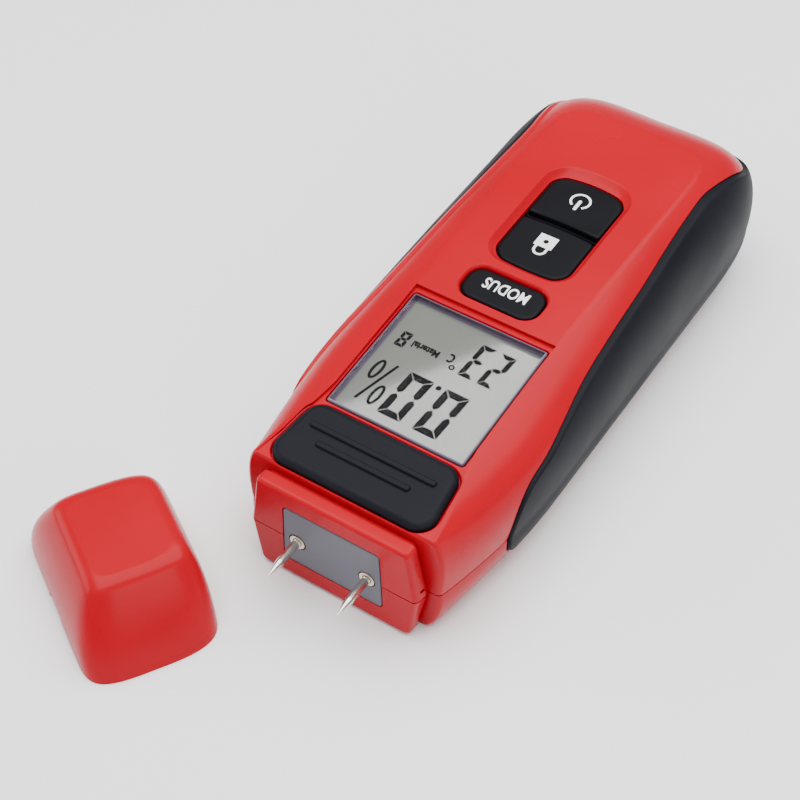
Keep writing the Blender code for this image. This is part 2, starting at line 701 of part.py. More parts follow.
lower_shell = keep(duplicate(housing, "lower_shell", red), below_seam)
cut(lower_shell, cavity)
posts = [
    rod(f"post_{i}", (x, at(y), 0.5 * MM), (x, at(y), SEAM_HEIGHT - SEAM_GAP / 2), BOSS_DIAMETER / 2)
    for i, (x, y) in enumerate(screw_places)
]
bay_half = BAY_WIDTH / 2
bay = box("bay", (-bay_half - BAY_WALL, at(BAY_FRONT), 2 * MM), (bay_half + BAY_WALL, at(BAY_BACK), BAY_TOP))
cut(bay, box("bay_room", (-bay_half, at(BAY_FRONT + BAY_WALL), 0), (bay_half, at(BAY_BACK + 5 * MM), 30 * MM)))
rib_inner = BATTERY[0] / 2 + FIT
for side in (-1, 1):
    for station in (BATTERY_FRONT + 4 * MM, BATTERY_FRONT + 38 * MM):
        ends = sorted((side * rib_inner, side * (bay_half + 0.5 * MM)))
        join(bay, box(f"rib_{side}_{station:.3f}", (ends[0], at(station), 5 * MM), (ends[1], at(station + 2 * MM), BAY_TOP)))
for feature in posts:
    join(lower_shell, keep(feature, boss_limit))
join(lower_shell, bay)


def door_room(name, grow):
    """The door's two-step outline: the inner lip is wider than the outer face."""
    half = DOOR_WIDTH / 2 + grow
    low = box(name, (-half, at(DOOR_FRONT - grow), -FAR), (half, at(LENGTH + 20 * MM), DOOR_LIP_BASE + 0.2 * MM))
    wide = box(
        f"{name}_lip", (-half - DOOR_LIP, at(DOOR_FRONT - grow), DOOR_LIP_BASE - grow),
        (half + DOOR_LIP, at(LENGTH + 20 * MM), DOOR_TAIL_TOP + grow),
    )
    return join(low, wide)


cut(lower_shell, door_room("door_opening", FIT))
battery_door = keep(duplicate(outer, "battery_door", red), door_room("door_blank", 0.0))
cut(battery_door, skin("door_floor", DOOR_THICKNESS))
for i in range(5):
    place = at(DOOR_FRONT + (5 + 2.2 * i) * MM)
    cut(battery_door, box(f"door_groove_{i}", (-7 * MM, place, -1 * MM), (7 * MM, place + 1 * MM, 0.5 * MM)))

cut(lower_shell, right_recess, left_recess, plate_pocket, *socket_holes)
for i, (x, y) in enumerate(screw_places):
    cut(
        lower_shell,
        rod(f"screw_hole_{i}", (x, at(y), 0), (x, at(y), 30 * MM), SCREW_DIAMETER / 2 + FIT),
        rod(
            f"head_hole_{i}", (x, at(y), -2 * MM),
            (x, at(y), SCREW_HEAD_BASE + SCREW_HEAD_HEIGHT + FIT), SCREW_HEAD_DIAMETER / 2 + FIT,
        ),
    )

for i, (x, y) in enumerate(screw_places):
    name = ("front_left", "front_right", "rear_left", "rear_right")[i]
    head_top = SCREW_HEAD_BASE + SCREW_HEAD_HEIGHT
    screw = rod(f"case_screw_{name}", (x, at(y), SCREW_HEAD_BASE), (x, at(y), head_top), SCREW_HEAD_DIAMETER / 2, zinc)
    join(screw, rod(f"shank_{i}", (x, at(y), head_top - 0.5 * MM), (x, at(y), SCREW_TOP), SCREW_DIAMETER / 2, sides=12))
    for turn in (0, math.pi / 2):
        cross = box(f"cross_{i}_{turn:.0f}", (-1.3 * MM, -0.3 * MM, -2 * MM), (1.3 * MM, 0.3 * MM, 0.9 * MM))
        cross.data.transform(Matrix.Translation((x, at(y), SCREW_HEAD_BASE)) @ Matrix.Rotation(turn, 4, "Z"))
        cut(screw, cross)


# ---------------------------------------------------------------- thumb pad, lens and keys

thumb_pad = prism(
    "thumb_pad",
    [pad_outline, pad_outline, grown(pad_outline, -0.25 * MM), grown(pad_outline, -0.8 * MM)],
    [-PAD_SINK, PAD_RISE - 0.6 * MM, PAD_RISE - 0.15 * MM, PAD_RISE], soft, deck_frame(0),
)
for i, (half, station) in enumerate(((15.9 * MM, 16.2 * MM), (11.8 * MM, 12.4 * MM))):
    bar = deck_outline(rectangle(2 * half, station - 0.7 * MM, station + 0.7 * MM, 0.65 * MM, steps=4))
    rib = prism(
        f"pad_rib_{i}", [bar, bar, grown(bar, -0.25 * MM)],
        [0, PAD_RISE + 0.45 * MM, PAD_RISE + 0.7 * MM], None, deck_frame(0),
    )
    join(thumb_pad, rib)

display_lens = prism(
    "display_lens", [lens_rectangle(0), lens_rectangle(0), lens_rectangle(-0.7 * MM)],
    [0.2 * MM - LENS_THICKNESS, -0.3 * MM, 0.2 * MM], clear, deck_frame(0),
)

SWITCH_BASE = BOARD_TOP + FIT
SWITCH_TOP = SWITCH_BASE + SWITCH_HEIGHT
for name, (front, back, width, bow_front, bow_back, sink) in KEYS.items():
    station = (front + back) / 2
    flat = centred(key_outline(name), station)
    key = prism(
        f"{name}_key", [flat, flat, grown(flat, -0.2 * MM), grown(flat, -0.7 * MM)],
        [-WALL - 1 * MM, -sink - 0.5 * MM, -sink - 0.12 * MM, -sink], key_rubber, panel_frame(station),
    )
    flange = grown(flat, KEY_FLANGE)
    flange_top = -WALL - FIT - 0.15 * MM
    plunger_top = SWITCH_TOP + PLUNGER_HEIGHT - 0.3 * MM
    join(
        key,
        prism(f"{name}_flange", [flange] * 2, [flange_top - FLANGE_THICKNESS, flange_top], None, panel_frame(station)),
        rod(
            f"{name}_stem", (0, at(station), plunger_top + FIT),
            (0, at(station), SEAM_HEIGHT + crease_rise(station) - WALL - 1 * MM), STEM_DIAMETER / 2, sides=16,
        ),
    )
    half = SWITCH_SIZE / 2
    switch = box(
        f"{name}_switch", (-half, at(station) - half, SWITCH_BASE), (half, at(station) + half, SWITCH_TOP), zinc
    )
    cut(
        switch,
        rod(
            f"{name}_bore", (0, at(station), SWITCH_TOP - 1.6 * MM), (0, at(station), SWITCH_TOP + 1 * MM),
            PLUNGER_DIAMETER / 2 + FIT, sides=16,
        ),
    )
    rod(
        f"{name}_plunger", (0, at(station), SWITCH_TOP - 0.3 * MM), (0, at(station), plunger_top),
        PLUNGER_DIAMETER / 2, black, sides=16,
    )


# ---------------------------------------------------------------- display, board and electronics

lcd_top = -ledge_depth - FIT
lcd_outline = rectangle(
    LENS_WIDTH - 1.4 * MM, -LENS_LENGTH / 2 + 0.7 * MM, LENS_LENGTH / 2 - 0.7 * MM, 0
)
prism("lcd_glass", [lcd_outline] * 2, [lcd_top - LCD_THICKNESS, lcd_top], display, deck_frame(0))
below_parts = box("below_parts", (-FAR, -FAR, -FAR), (FAR, FAR, BOARD_TOP + FIT))
lcd_holder = prism(
    "lcd_holder", [grown(lcd_outline, FIT + HOLDER_WALL)] * 2, [-14 * MM, lcd_top], black, deck_frame(0)
)
cut(
    lcd_holder,
    prism("lcd_room", [grown(lcd_outline, FIT)] * 2, [-20 * MM, 5 * MM], None, deck_frame(0)),
    below_parts,
)
for name, place in (("front", -LENS_LENGTH / 2 + 2.4 * MM), ("rear", LENS_LENGTH / 2 - 4.6 * MM)):
    strip = prism(
        f"contact_strip_{name}", [rectangle(30 * MM, place, place + 2.2 * MM, 0)] * 2,
        [-14 * MM, lcd_top - LCD_THICKNESS - FIT], silicone, deck_frame(0),
    )
    cut(strip, below_parts)

neck, wide = BOARD_NECK_WIDTH / 2, BOARD_WIDTH / 2
board_side = [(neck, BOARD_FRONT), (neck, BOARD_NECK_END), (wide, BOARD_NECK_END + 2 * MM), (wide, BOARD_BACK)]
board_outline = [(x, at(y)) for x, y in board_side + [(-x, y) for x, y in reversed(board_side)]]
main_board = prism("main_board", [board_outline] * 2, [BOARD_BASE, BOARD_TOP], green)
for i, (x, y) in enumerate(BOARD_SCREWS):
    cut(main_board, rod(f"board_hole_{i}", (x, at(y), 0), (x, at(y), 40 * MM), 1.3 * MM, sides=16))
    name = ("front", "rear")[i]
    screw = rod(f"board_screw_{name}", (x, at(y), BOARD_BASE - 1.6 * MM), (x, at(y), BOARD_BASE - FIT), 2 * MM, zinc, sides=16)
    join(screw, rod(f"board_shank_{i}", (x, at(y), BOARD_BASE - 1 * MM), (x, at(y), BOARD_TOP + 4 * MM), 1 * MM, sides=12))

box(
    "controller_chip", (-4.5 * MM, at(41 * MM), BOARD_BASE - FIT - 1.4 * MM),
    (4.5 * MM, at(50 * MM), BOARD_BASE - FIT), black,
)
rod(
    "temperature_sensor", (9 * MM, at(15.5 * MM), BOARD_TOP + FIT), (9 * MM, at(15.5 * MM), BOARD_TOP + 2 * MM),
    1.2 * MM, black, end_radius=0.8 * MM, sides=12,
)


# ---------------------------------------------------------------- electrodes

electrode_plate = prism(
    "electrode_plate", [plate_outline, plate_outline, grown(plate_outline, -0.2 * MM)],
    [-PLATE_THICKNESS, -0.2 * MM, 0], grey, upright,
)
for side, name in ((-1, "left"), (1, "right")):
    x = side * PIN_SPACING / 2
    neck_radius = SOCKET_NECK / 2
    cut(
        electrode_plate,
        rod(f"plate_hole_{name}", (x, at(-3 * MM), SEAM_HEIGHT), (x, at(4 * MM), SEAM_HEIGHT), neck_radius + FIT),
    )
    socket = rod(f"{name}_socket", (x, at(-0.1 * MM), SEAM_HEIGHT), (x, at(3 * MM), SEAM_HEIGHT), neck_radius, brass)
    join(socket, rod(
        f"{name}_socket_body", (x, at(PLATE_SEAT + 0.1 * MM), SEAM_HEIGHT), (x, at(SOCKET_LENGTH), SEAM_HEIGHT),
        SOCKET_DIAMETER / 2,
    ))
    cut(socket, rod(
        f"{name}_socket_bore", (x, at(-1 * MM), SEAM_HEIGHT), (x, at(PIN_DEPTH + 1 * MM), SEAM_HEIGHT),
        PIN_DIAMETER / 2 + FIT,
    ))
    pin = rod(
        f"{name}_pin", (x, at(PIN_DEPTH), SEAM_HEIGHT), (x, at(PIN_TIP - PIN_REACH), SEAM_HEIGHT),
        PIN_DIAMETER / 2, steel,
    )
    join(pin, rod(
        f"{name}_point", (x, at(PIN_TIP - PIN_REACH + 0.1 * MM), SEAM_HEIGHT), (x, at(-PIN_REACH), SEAM_HEIGHT),
        PIN_DIAMETER / 2, end_radius=0.12 * MM,
    ))
    outline = [
        (SOCKET_LENGTH + FIT, -2 * MM), (SOCKET_LENGTH + FIT + CONTACT_THICKNESS, -2 * MM),
        (SOCKET_LENGTH + FIT + CONTACT_THICKNESS, 6.6 * MM), (17 * MM, 8.3 * MM), (17 * MM, 8.7 * MM),
        (SOCKET_LENGTH + FIT, 6.9 * MM),
    ]
    prism(
        f"{name}_contact", [outline] * 2, [x - CONTACT_WIDTH / 2, x + CONTACT_WIDTH / 2], brass, sideways
    )


# ---------------------------------------------------------------- battery

battery = prism(
    "battery", [[(x, at(BATTERY_FRONT + y)) for x, y in rectangle(BATTERY[0], 0, BATTERY[1], 2 * MM, steps=3)]] * 2,
    [BATTERY_BASE, BATTERY_BASE + BATTERY[2]], label,
)
battery_middle = BATTERY_BASE + BATTERY[2] / 2
for side in (-1, 1):
    join(battery, rod(
        f"terminal_{side}", (side * 6.4 * MM, at(BATTERY_FRONT + 1 * MM), battery_middle),
        (side * 6.4 * MM, at(BATTERY_FRONT - 2.2 * MM), battery_middle), 2.8 * MM, sides=16,
    ))
connector_back = BATTERY_FRONT - 2.2 * MM - FIT
box(
    "battery_connector", (-12.5 * MM, at(connector_back - CONNECTOR_THICKNESS), 4.5 * MM),
    (12.5 * MM, at(connector_back), 18.5 * MM), black,
)
for side, name, finish in ((-1, "negative", lead_black), (1, "positive", lead_red)):
    x = side * LEAD_SPACING / 2
    middle = connector_back - CONNECTOR_THICKNESS / 2
    route = [(x, at(middle), 18.9 * MM), (x, at(middle - 0.3 * MM), 20.2 * MM), (x, at(middle - 3 * MM), 21.4 * MM),
             (x, at(middle - 7 * MM), 21.5 * MM)]
    curve = bpy.data.curves.new(f"lead_{name}", "CURVE")
    curve.dimensions = "3D"
    curve.bevel_depth = LEAD_DIAMETER / 2
    curve.bevel_resolution = 2
    curve.use_fill_caps = True
    line = curve.splines.new("POLY")
    points = smooth_path(route, 3)
    line.points.add(len(points) - 1)
    for target, point in zip(line.points, points):
        target.co = (*point, 1)
    lead = bpy.data.objects.new(f"battery_lead_{name}", curve)
    curve.materials.append(finish)
    PARTS.objects.link(lead)
battery_top = BATTERY_BASE + BATTERY[2]
box(
    "foam_pad", (-10 * MM, at(BATTERY_FRONT + 4 * MM), battery_top + FIT),
    (10 * MM, at(BATTERY_FRONT + 26 * MM), BOARD_BASE - FIT), foam,
)


# ---------------------------------------------------------------- protective cap

CAP_TAPER = (0.45, 0.18, 0.47)  # how far the ends, the panel's side and the underside's side draw in
CAP_TAPER_POWER = (1.35, 3.5, 2.0)


def cap_rings(less):
    """Outlines and heights from the rim up to the closed end, inset by less."""
    shares = (0.0, 0.3, 0.55, 0.73, 0.85, 0.94, 0.985, 1.0)
    outlines = []
    for share in shares:
        ends, panel, under = (1 - t * share ** p for t, p in zip(CAP_TAPER, CAP_TAPER_POWER))
        edge = 0.3 * MM + 1.9 * MM * max(0.0, share - 0.94) / 0.06 if share > 0.93 else 0.0
        outline = []
        for step in range(32):
            angle = math.tau * (step + 0.5) / 32
            across, along = math.cos(angle), math.sin(angle)
            rise, flat, round_ = (CAP_RISE * panel, 8, 3.3) if along > 0 else (CAP_DROP * under, 10, 3.2)
            x = math.copysign(abs(across) ** (2 / flat), across) * (CAP_HALF_WIDTH * ends - less - edge)
            y = math.copysign(abs(along) ** (2 / round_), along) * (rise - less - edge)
            outline.append((x, y))
        outlines.append(outline)
    return outlines, [share * (CAP_DEPTH - less) for share in shares]


stand = Matrix.Translation((CAP_PLACE[0], at(CAP_PLACE[1]), 0)) @ Matrix.Rotation(CAP_TURN, 4, "Z")
outlines, heights = cap_rings(0)
protective_cap = prism("protective_cap", outlines, heights, red, stand)
outlines, heights = cap_rings(CAP_WALL)
cap_hollow = prism("cap_hollow", outlines, [h - 0.001 * MM if h else -1 * MM for h in heights], None, stand)
notch = box(
    "cap_notch", (-CAP_NOTCH[0] / 2, -CAP_DROP - 2 * MM, -1 * MM),
    (CAP_NOTCH[0] / 2, -CAP_DROP + CAP_WALL + 1 * MM, CAP_NOTCH[1]),
)
notch.data.transform(stand)
cut(protective_cap, cap_hollow, notch)


# ---------------------------------------------------------------- origins and parents

frames = {}
for name, place in (("meter", (0, 0, 0)), ("cap_stand", (CAP_PLACE[0], at(CAP_PLACE[1]), 0))):
    frames[name] = bpy.data.objects.new(name, None)
    frames[name].location = place
    frames[name].empty_display_size = 20 * MM
    PARTS.objects.link(frames[name])
for part in list(PARTS.objects):
    if part.type != "MESH":
        continue
    part.data.shade_smooth()
    part.data.set_sharp_from_angle(angle=math.radians(32))
    corners = [Vector(corner) for corner in part.bound_box]
    middle = (corners[0] + corners[6]) / 2
    parent = frames["cap_stand" if part is protective_cap else "meter"]
    part.data.transform(Matrix.Translation(-middle))
    part.location = middle - parent.location
    part.parent = parent
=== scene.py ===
"""A pin moisture meter lying on its back, with its protective cap standing beside the nose."""

import math

import bmesh
import bpy
from mathutils import Matrix, Vector
from mathutils.bvhtree import BVHTree


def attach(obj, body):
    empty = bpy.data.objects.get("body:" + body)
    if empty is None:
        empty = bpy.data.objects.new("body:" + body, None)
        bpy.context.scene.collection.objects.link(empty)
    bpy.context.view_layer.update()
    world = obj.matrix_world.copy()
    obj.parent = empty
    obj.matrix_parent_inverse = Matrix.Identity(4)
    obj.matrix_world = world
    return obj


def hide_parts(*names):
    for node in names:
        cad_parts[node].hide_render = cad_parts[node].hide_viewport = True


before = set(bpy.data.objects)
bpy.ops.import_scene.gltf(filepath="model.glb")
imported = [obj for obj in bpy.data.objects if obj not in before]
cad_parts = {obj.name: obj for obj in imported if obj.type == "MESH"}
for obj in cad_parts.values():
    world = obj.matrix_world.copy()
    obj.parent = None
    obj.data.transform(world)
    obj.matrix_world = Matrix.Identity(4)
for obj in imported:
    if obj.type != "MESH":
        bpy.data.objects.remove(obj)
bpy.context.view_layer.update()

bpy.ops.object.select_all(action="DESELECT")

# ---------------------------------------------------------------- table, light and camera
# The meter lies on a plain pale table under one big soft box overhead, with two paler
# cards at its sides. Nothing here belongs to the object.

bpy.ops.mesh.primitive_plane_add(size=8, location=(0, 0, -0.0001))
table_top = bpy.context.object
table_top.name = "table_top"

studio = bpy.data.worlds.new("studio")
studio.use_nodes = True
studio.node_tree.nodes["Background"].inputs["Color"].default_value = (0.93, 0.95, 1.0, 1)
studio.node_tree.nodes["Background"].inputs["Strength"].default_value = 0.32
bpy.context.scene.world = studio


def soft_box(name, place, target, width, depth, power, turn=0.0):
    """A rectangular lamp that faces a target, turned about its own beam."""
    bpy.ops.object.light_add(type="AREA", location=place)
    lamp = bpy.context.object
    lamp.name = name
    lamp.data.shape = "RECTANGLE"
    lamp.data.size, lamp.data.size_y = width, depth
    lamp.data.energy = power
    beam = (Vector(place) - Vector(target)).to_track_quat("Z", "Y").to_matrix()
    lamp.rotation_euler = (beam @ Matrix.Rotation(turn, 3, "Z")).to_euler()


soft_box("overhead_box", (0.018, 0.154, 0.83), (0.018, 0.154, 0.0), 1.2, 0.9, 20.0, math.radians(54.8))
soft_box("left_card", (-0.75, -0.45, 0.30), (-0.04, -0.1, 0.02), 0.7, 0.4, 4.0)
soft_box("right_card", (0.75, -0.35, 0.42), (0.02, 0.0, 0.02), 0.5, 0.5, 3.0)

VIEW_TURN, VIEW_HEIGHT, VIEW_ROLL = (math.radians(a) for a in (33.198, 47.834, -0.132))
back = Vector((
    math.sin(VIEW_TURN) * math.cos(VIEW_HEIGHT), -math.cos(VIEW_TURN) * math.cos(VIEW_HEIGHT),
    math.sin(VIEW_HEIGHT),
))
across = Vector((math.cos(VIEW_TURN), math.sin(VIEW_TURN), 0))
bpy.ops.object.camera_add(location=(0.13191, -0.25207, 0.30593))
camera = bpy.context.object
level = Matrix((across, back.cross(across), back)).transposed()
camera.rotation_euler = (level @ Matrix.Rotation(VIEW_ROLL, 3, "Z")).to_euler()
camera.data.sensor_width = 36
camera.data.lens = 76.5
camera.data.clip_start = 0.01
bpy.context.scene.camera = camera

# ---------------------------------------------------------------- housing
# Two shells of glossy red ABS, injection moulded, that meet at a seam round the middle and
# are held by four screws from below. The sides swell and round off into the tail, and the
# top panel is a shallow arch with a soft crease round it. Sizes are in millimetres here.

MM = 0.001
LENGTH = 154.5
SEAM = 13.6
STEP = 4.4  # the nose ends here and the wider body begins
TAIL_RUN = 43.0
PANEL_END, PANEL_RUN = 136.0, 18.0
WALL = 2.6
FIT = 0.3
SEAM_GAP = 0.3
CREASE_ROUND = 0.9


def finish(name, low, high, patch, rough, grain, depth, **sockets):
    """A moulded or metal surface: its colour drifts between two tones in patches, its
    roughness between two values, and a fine grain stands on it. Other numbers are sockets."""
    made = bpy.data.materials.new(name)
    made.use_nodes = True
    nodes, links = made.node_tree.nodes, made.node_tree.links
    shader = nodes["Principled BSDF"]
    for socket, value in sockets.items():
        shader.inputs[socket.replace("_", " ").title().replace("Ior", "IOR")].default_value = value
    where = nodes.new("ShaderNodeTexCoord")
    drift = nodes.new("ShaderNodeTexNoise")
    drift.inputs["Scale"].default_value = patch
    drift.inputs["Detail"].default_value = 4
    tones = nodes.new("ShaderNodeValToRGB")
    tones.color_ramp.elements[0].position, tones.color_ramp.elements[1].position = 0.3, 0.7
    tones.color_ramp.elements[0].color = (*low, 1)
    tones.color_ramp.elements[1].color = (*high, 1)
    sheen = nodes.new("ShaderNodeMapRange")
    sheen.inputs["From Min"].default_value, sheen.inputs["From Max"].default_value = 0.3, 0.7
    sheen.inputs["To Min"].default_value, sheen.inputs["To Max"].default_value = rough
    fine = nodes.new("ShaderNodeTexNoise")
    fine.inputs["Scale"].default_value = grain
    fine.inputs["Detail"].default_value = 2
    bump = nodes.new("ShaderNodeBump")
    bump.inputs["Distance"].default_value = depth
    bump.inputs["Strength"].default_value = 1.0
    for texture in (drift, fine):
        links.new(where.outputs["Object"], texture.inputs["Vector"])
    links.new(drift.outputs["Fac"], tones.inputs["Fac"])
    links.new(drift.outputs["Fac"], sheen.inputs["Value"])
    links.new(tones.outputs["Color"], shader.inputs["Base Color"])
    links.new(sheen.outputs["Result"], shader.inputs["Roughness"])
    links.new(fine.outputs["Fac"], bump.inputs["Height"])
    links.new(bump.outputs["Normal"], shader.inputs["Normal"])
    return made


def panel_rise(station):
    """Height of the top panel above the seam, highest near the tail."""
    top = LENGTH * 0.845
    return 25.0 - 8.0 * ((top - station) / (top - STEP)) ** 2


def seam_half(station):
    run = min(1.0, max(0.0, (station - STEP) / 42.0))
    return 30.0 - 5.6 * (1 - run) ** 2


def crease_half(station):
    if station > 33.0:
        return 18.2 + 1.6 * min(1.0, (station - 33.0) / 85.0)
    return 18.2 + 4.8 * ((33.0 - station) / (33.0 - STEP)) ** 1.3


def base_half(station):
    return min(seam_half(station) * 0.2 + 24.4 * 0.8 - 3.9, 21.5)


def outline_point(way, half, end, run):
    """Right-hand outline: way 0 to 1 runs along the side, 1 to 2 round the tail."""
    straight = end - run
    if way <= 1:
        station = STEP + way * (straight - STEP)
        return Vector((half(station), station))
    angle = (way - 1) * math.pi / 2
    along = math.sin(angle) ** (2 / 4.7)
    sideways = max(0.0, math.cos(angle)) ** (2 / 4.7)
    return Vector((half(straight) * sideways, straight + run * along))


def flank(lower, upper, low, high, bulge, pull, lift):
    """A rounded flank from the seam outline to a crease or base outline, as a curve of t."""
    away = lower - upper
    share = away.normalized().x if away.length else 0.0
    first = lower + Vector((share * bulge, 0.0))
    second = upper + away * (pull[0] + (pull[1] - pull[0]) * share)

    def at(t):
        weights = ((1 - t) ** 3, 3 * t * (1 - t) ** 2, 3 * t ** 2 * (1 - t), t ** 3)
        flat = lower * weights[0] + first * weights[1] + second * weights[2] + upper * weights[3]
        rise = low + (high - low) * (lift[0] * weights[1] + lift[1] * weights[2] + weights[3])
        return Vector((flat.x, flat.y, rise))

    return at


def new_piece(name, shape):
    bmesh.ops.recalc_face_normals(shape, faces=shape.faces)
    mesh = bpy.data.meshes.new(name)
    shape.to_mesh(mesh)
    shape.free()
    made = bpy.data.objects.new(name, mesh)
    bpy.context.scene.collection.objects.link(made)
    return made


def skin(name, inset=0.0, fine=True, proud=None):
    """The closed body behind the nose, moved inwards by inset, or outwards by proud(way)."""
    side, tail, lower, upper, turns = (110, 60, 14, 26, 6) if fine else (24, 14, 5, 9, 0)
    front = [(1 - math.cos(math.radians(15 * i))) / 107.1 for i in range(7)]
    ways = front + [0.02 + 0.98 * i / side for i in range(side)] + [1 + i / tail for i in range(tail + 1)]
    start = STEP + inset * (4.0 / WALL)
    shape = bmesh.new()
    columns = []
    for way in ways:
        behind = way * (LENGTH - TAIL_RUN - STEP)
        depth = inset - (proud(way) if proud else 0.0)
        edge = max(0.0, 1.0 - behind)
        extra = depth + 1.0 - math.sqrt(max(0.0, 1.0 - edge ** 2))
        seam = outline_point(way, lambda s: seam_half(s) - extra, LENGTH - depth, TAIL_RUN)
        crease = outline_point(
            way, lambda s: crease_half(s) - extra * 0.6, PANEL_END - depth * 0.6, PANEL_RUN,
        )
        base = outline_point(way, lambda s: base_half(s) - extra * 0.6, LENGTH - 8.5 - depth, TAIL_RUN)
        seam.y, crease.y, base.y = (max(p.y, start) for p in (seam, crease, base))
        top = SEAM + panel_rise(crease.y) - extra
        swell = 1.2 + min(1.0, behind / 42.0)
        down = flank(seam, base, SEAM, extra, 0.8, (0.5, 0.55), (0.45, 1.0))
        rise = flank(seam, crease, SEAM, top, swell, (0.73, 0.88), (0.62, 0.86))
        reach = 1.0
        bend = []
        inner = Vector((crease.x, crease.y, top))
        if turns:
            near, far = 0.5, 1.0
            for _ in range(24):
                reach = (near + far) / 2
                if (rise(reach) - rise(1.0)).length > CREASE_ROUND:
                    near = reach
                else:
                    far = reach
            flat = outline_point(
                way, lambda s: crease_half(s) - extra * 0.6 - CREASE_ROUND,
                PANEL_END - CREASE_ROUND - depth * 0.6, PANEL_RUN,
            )
            flat.y = max(flat.y, start)
            inner = Vector((max(0.0, flat.x), flat.y, SEAM + panel_rise(flat.y) - extra))
            for i in range(1, turns + 1):
                t = i / turns
                bend.append(rise(reach) * (1 - t) ** 2 + rise(1.0) * 2 * t * (1 - t) + inner * t ** 2)
        chain = [Vector((0, base.y, extra))] + [down(1 - i / lower) for i in range(lower)]
        chain += [rise(reach * i / upper) for i in range(upper + 1)] + bend
        chain.append(Vector((0, inner.y, inner.z)))
        columns.append([shape.verts.new(Vector((p.x, p.y - LENGTH / 2, p.z)) * MM) for p in chain])
    for near, far in zip(columns, columns[1:]):
        for i in range(len(near) - 1):
            shape.faces.new((near[i], far[i], far[i + 1], near[i + 1]))
    shape.faces.new(columns[0])
    bmesh.ops.remove_doubles(shape, verts=shape.verts, dist=2e-6)
    bmesh.ops.dissolve_degenerate(shape, edges=shape.edges, dist=2e-6)
    twin = bmesh.ops.duplicate(shape, geom=shape.verts[:] + shape.edges[:] + shape.faces[:])
    copied = [item for item in twin["geom"] if isinstance(item, bmesh.types.BMVert)]
    bmesh.ops.scale(shape, vec=(-1, 1, 1), verts=copied)
    bmesh.ops.remove_doubles(shape, verts=shape.verts, dist=2e-6)
    return new_piece(name, shape)


def through(name, rings, around=False):
    """A closed solid through like rings of points in millimetres: capped, or a ring itself."""
    shape = bmesh.new()
    loops = [[shape.verts.new(Vector(p) * MM) for p in ring] for ring in rings]
    for near, far in zip(loops, loops[1:] + loops[:1] if around else loops[1:]):
        for i in range(len(near)):
            j = (i + 1) % len(near)
            shape.faces.new((near[i], near[j], far[j], far[i]))
    if not around:
        shape.faces.new(reversed(loops[0]))
        shape.faces.new(loops[-1])
    return new_piece(name, shape)


def rounded(corners, radius, steps=8):
    """An outline through corners given as (x, y), each rounded by an arc."""
    outline = []
    for i, corner in enumerate(corners):
        here = Vector(corner)
        before = (Vector(corners[i - 1]) - here).normalized()
        after = (Vector(corners[(i + 1) % len(corners)]) - here).normalized()
        half = before.angle(after) / 2
        middle = here + (before + after).normalized() * radius / math.sin(half)
        start = here + before * radius / math.tan(half) - middle
        turn = start.angle_signed(here + after * radius / math.tan(half) - middle)
        for step in range(steps + 1):
            outline.append(middle + Matrix.Rotation(-turn * step / steps, 2) @ start)
    return [tuple(point) for point in outline]


def grown(outline, by):
    """The outline moved outwards by a distance, point by point."""
    area = sum(a[0] * b[1] - b[0] * a[1] for a, b in zip(outline, outline[1:] + outline[:1]))
    side = by if area > 0 else -by
    moved = []
    for i, point in enumerate(outline):
        along = (Vector(outline[(i + 1) % len(outline)]) - Vector(outline[i - 1])).normalized()
        moved.append((point[0] + along.y * side, point[1] - along.x * side))
    return moved


def cut(piece, *tools, how="DIFFERENCE", folded=False):
    """Cuts each tool from the piece, or joins it with UNION, or keeps what both share. A
    folded tool may cross itself."""
    bpy.context.view_layer.objects.active = piece
    for tool in tools:
        change = piece.modifiers.new("cut", "BOOLEAN")
        change.operation, change.object, change.solver = how, tool, "EXACT"
        change.use_self = folded
        bpy.ops.object.modifier_apply(modifier=change.name)
    return piece


def clear_away(*tools):
    for tool in tools:
        bpy.data.objects.remove(tool, do_unlink=True)


def copied(source, name, mirrored=False):
    """A piece with its own mesh, turned right side out when it is mirrored."""
    shape = bmesh.new()
    shape.from_mesh(source.data)
    if mirrored:
        bmesh.ops.scale(shape, vec=(-1, 1, 1), verts=shape.verts)
        bmesh.ops.reverse_faces(shape, faces=shape.faces)
    mesh = bpy.data.meshes.new(name)
    shape.to_mesh(mesh)
    shape.free()
    made = bpy.data.objects.new(name, mesh)
    bpy.context.scene.collection.objects.link(made)
    return made


def smooth(piece, material, angle=32):
    """Gives the piece its finish and shades it smooth between its crisp edges."""
    piece.data.materials.clear()
    piece.data.materials.append(material)
    bpy.ops.object.select_all(action="DESELECT")
    piece.select_set(True)
    bpy.context.view_layer.objects.active = piece
    bpy.ops.object.shade_smooth_by_angle(angle=math.radians(angle))
    weigh = piece.modifiers.new("weigh", "WEIGHTED_NORMAL")
    weigh.keep_sharp = True
    bpy.ops.object.modifier_apply(modifier=weigh.name)
    bpy.ops.object.select_all(action="DESELECT")
    return piece


def block(name, low, high):
    """A box tool from corner to corner, with stations along Y."""
    low, high = (Vector((p[0], p[1] - LENGTH / 2, p[2])) * MM for p in (low, high))
    bpy.ops.mesh.primitive_cube_add(size=1, location=(low + high) / 2, scale=high - low)
    made = bpy.context.object
    made.name = name
    bpy.ops.object.transform_apply(location=True, rotation=True, scale=True)
    return made


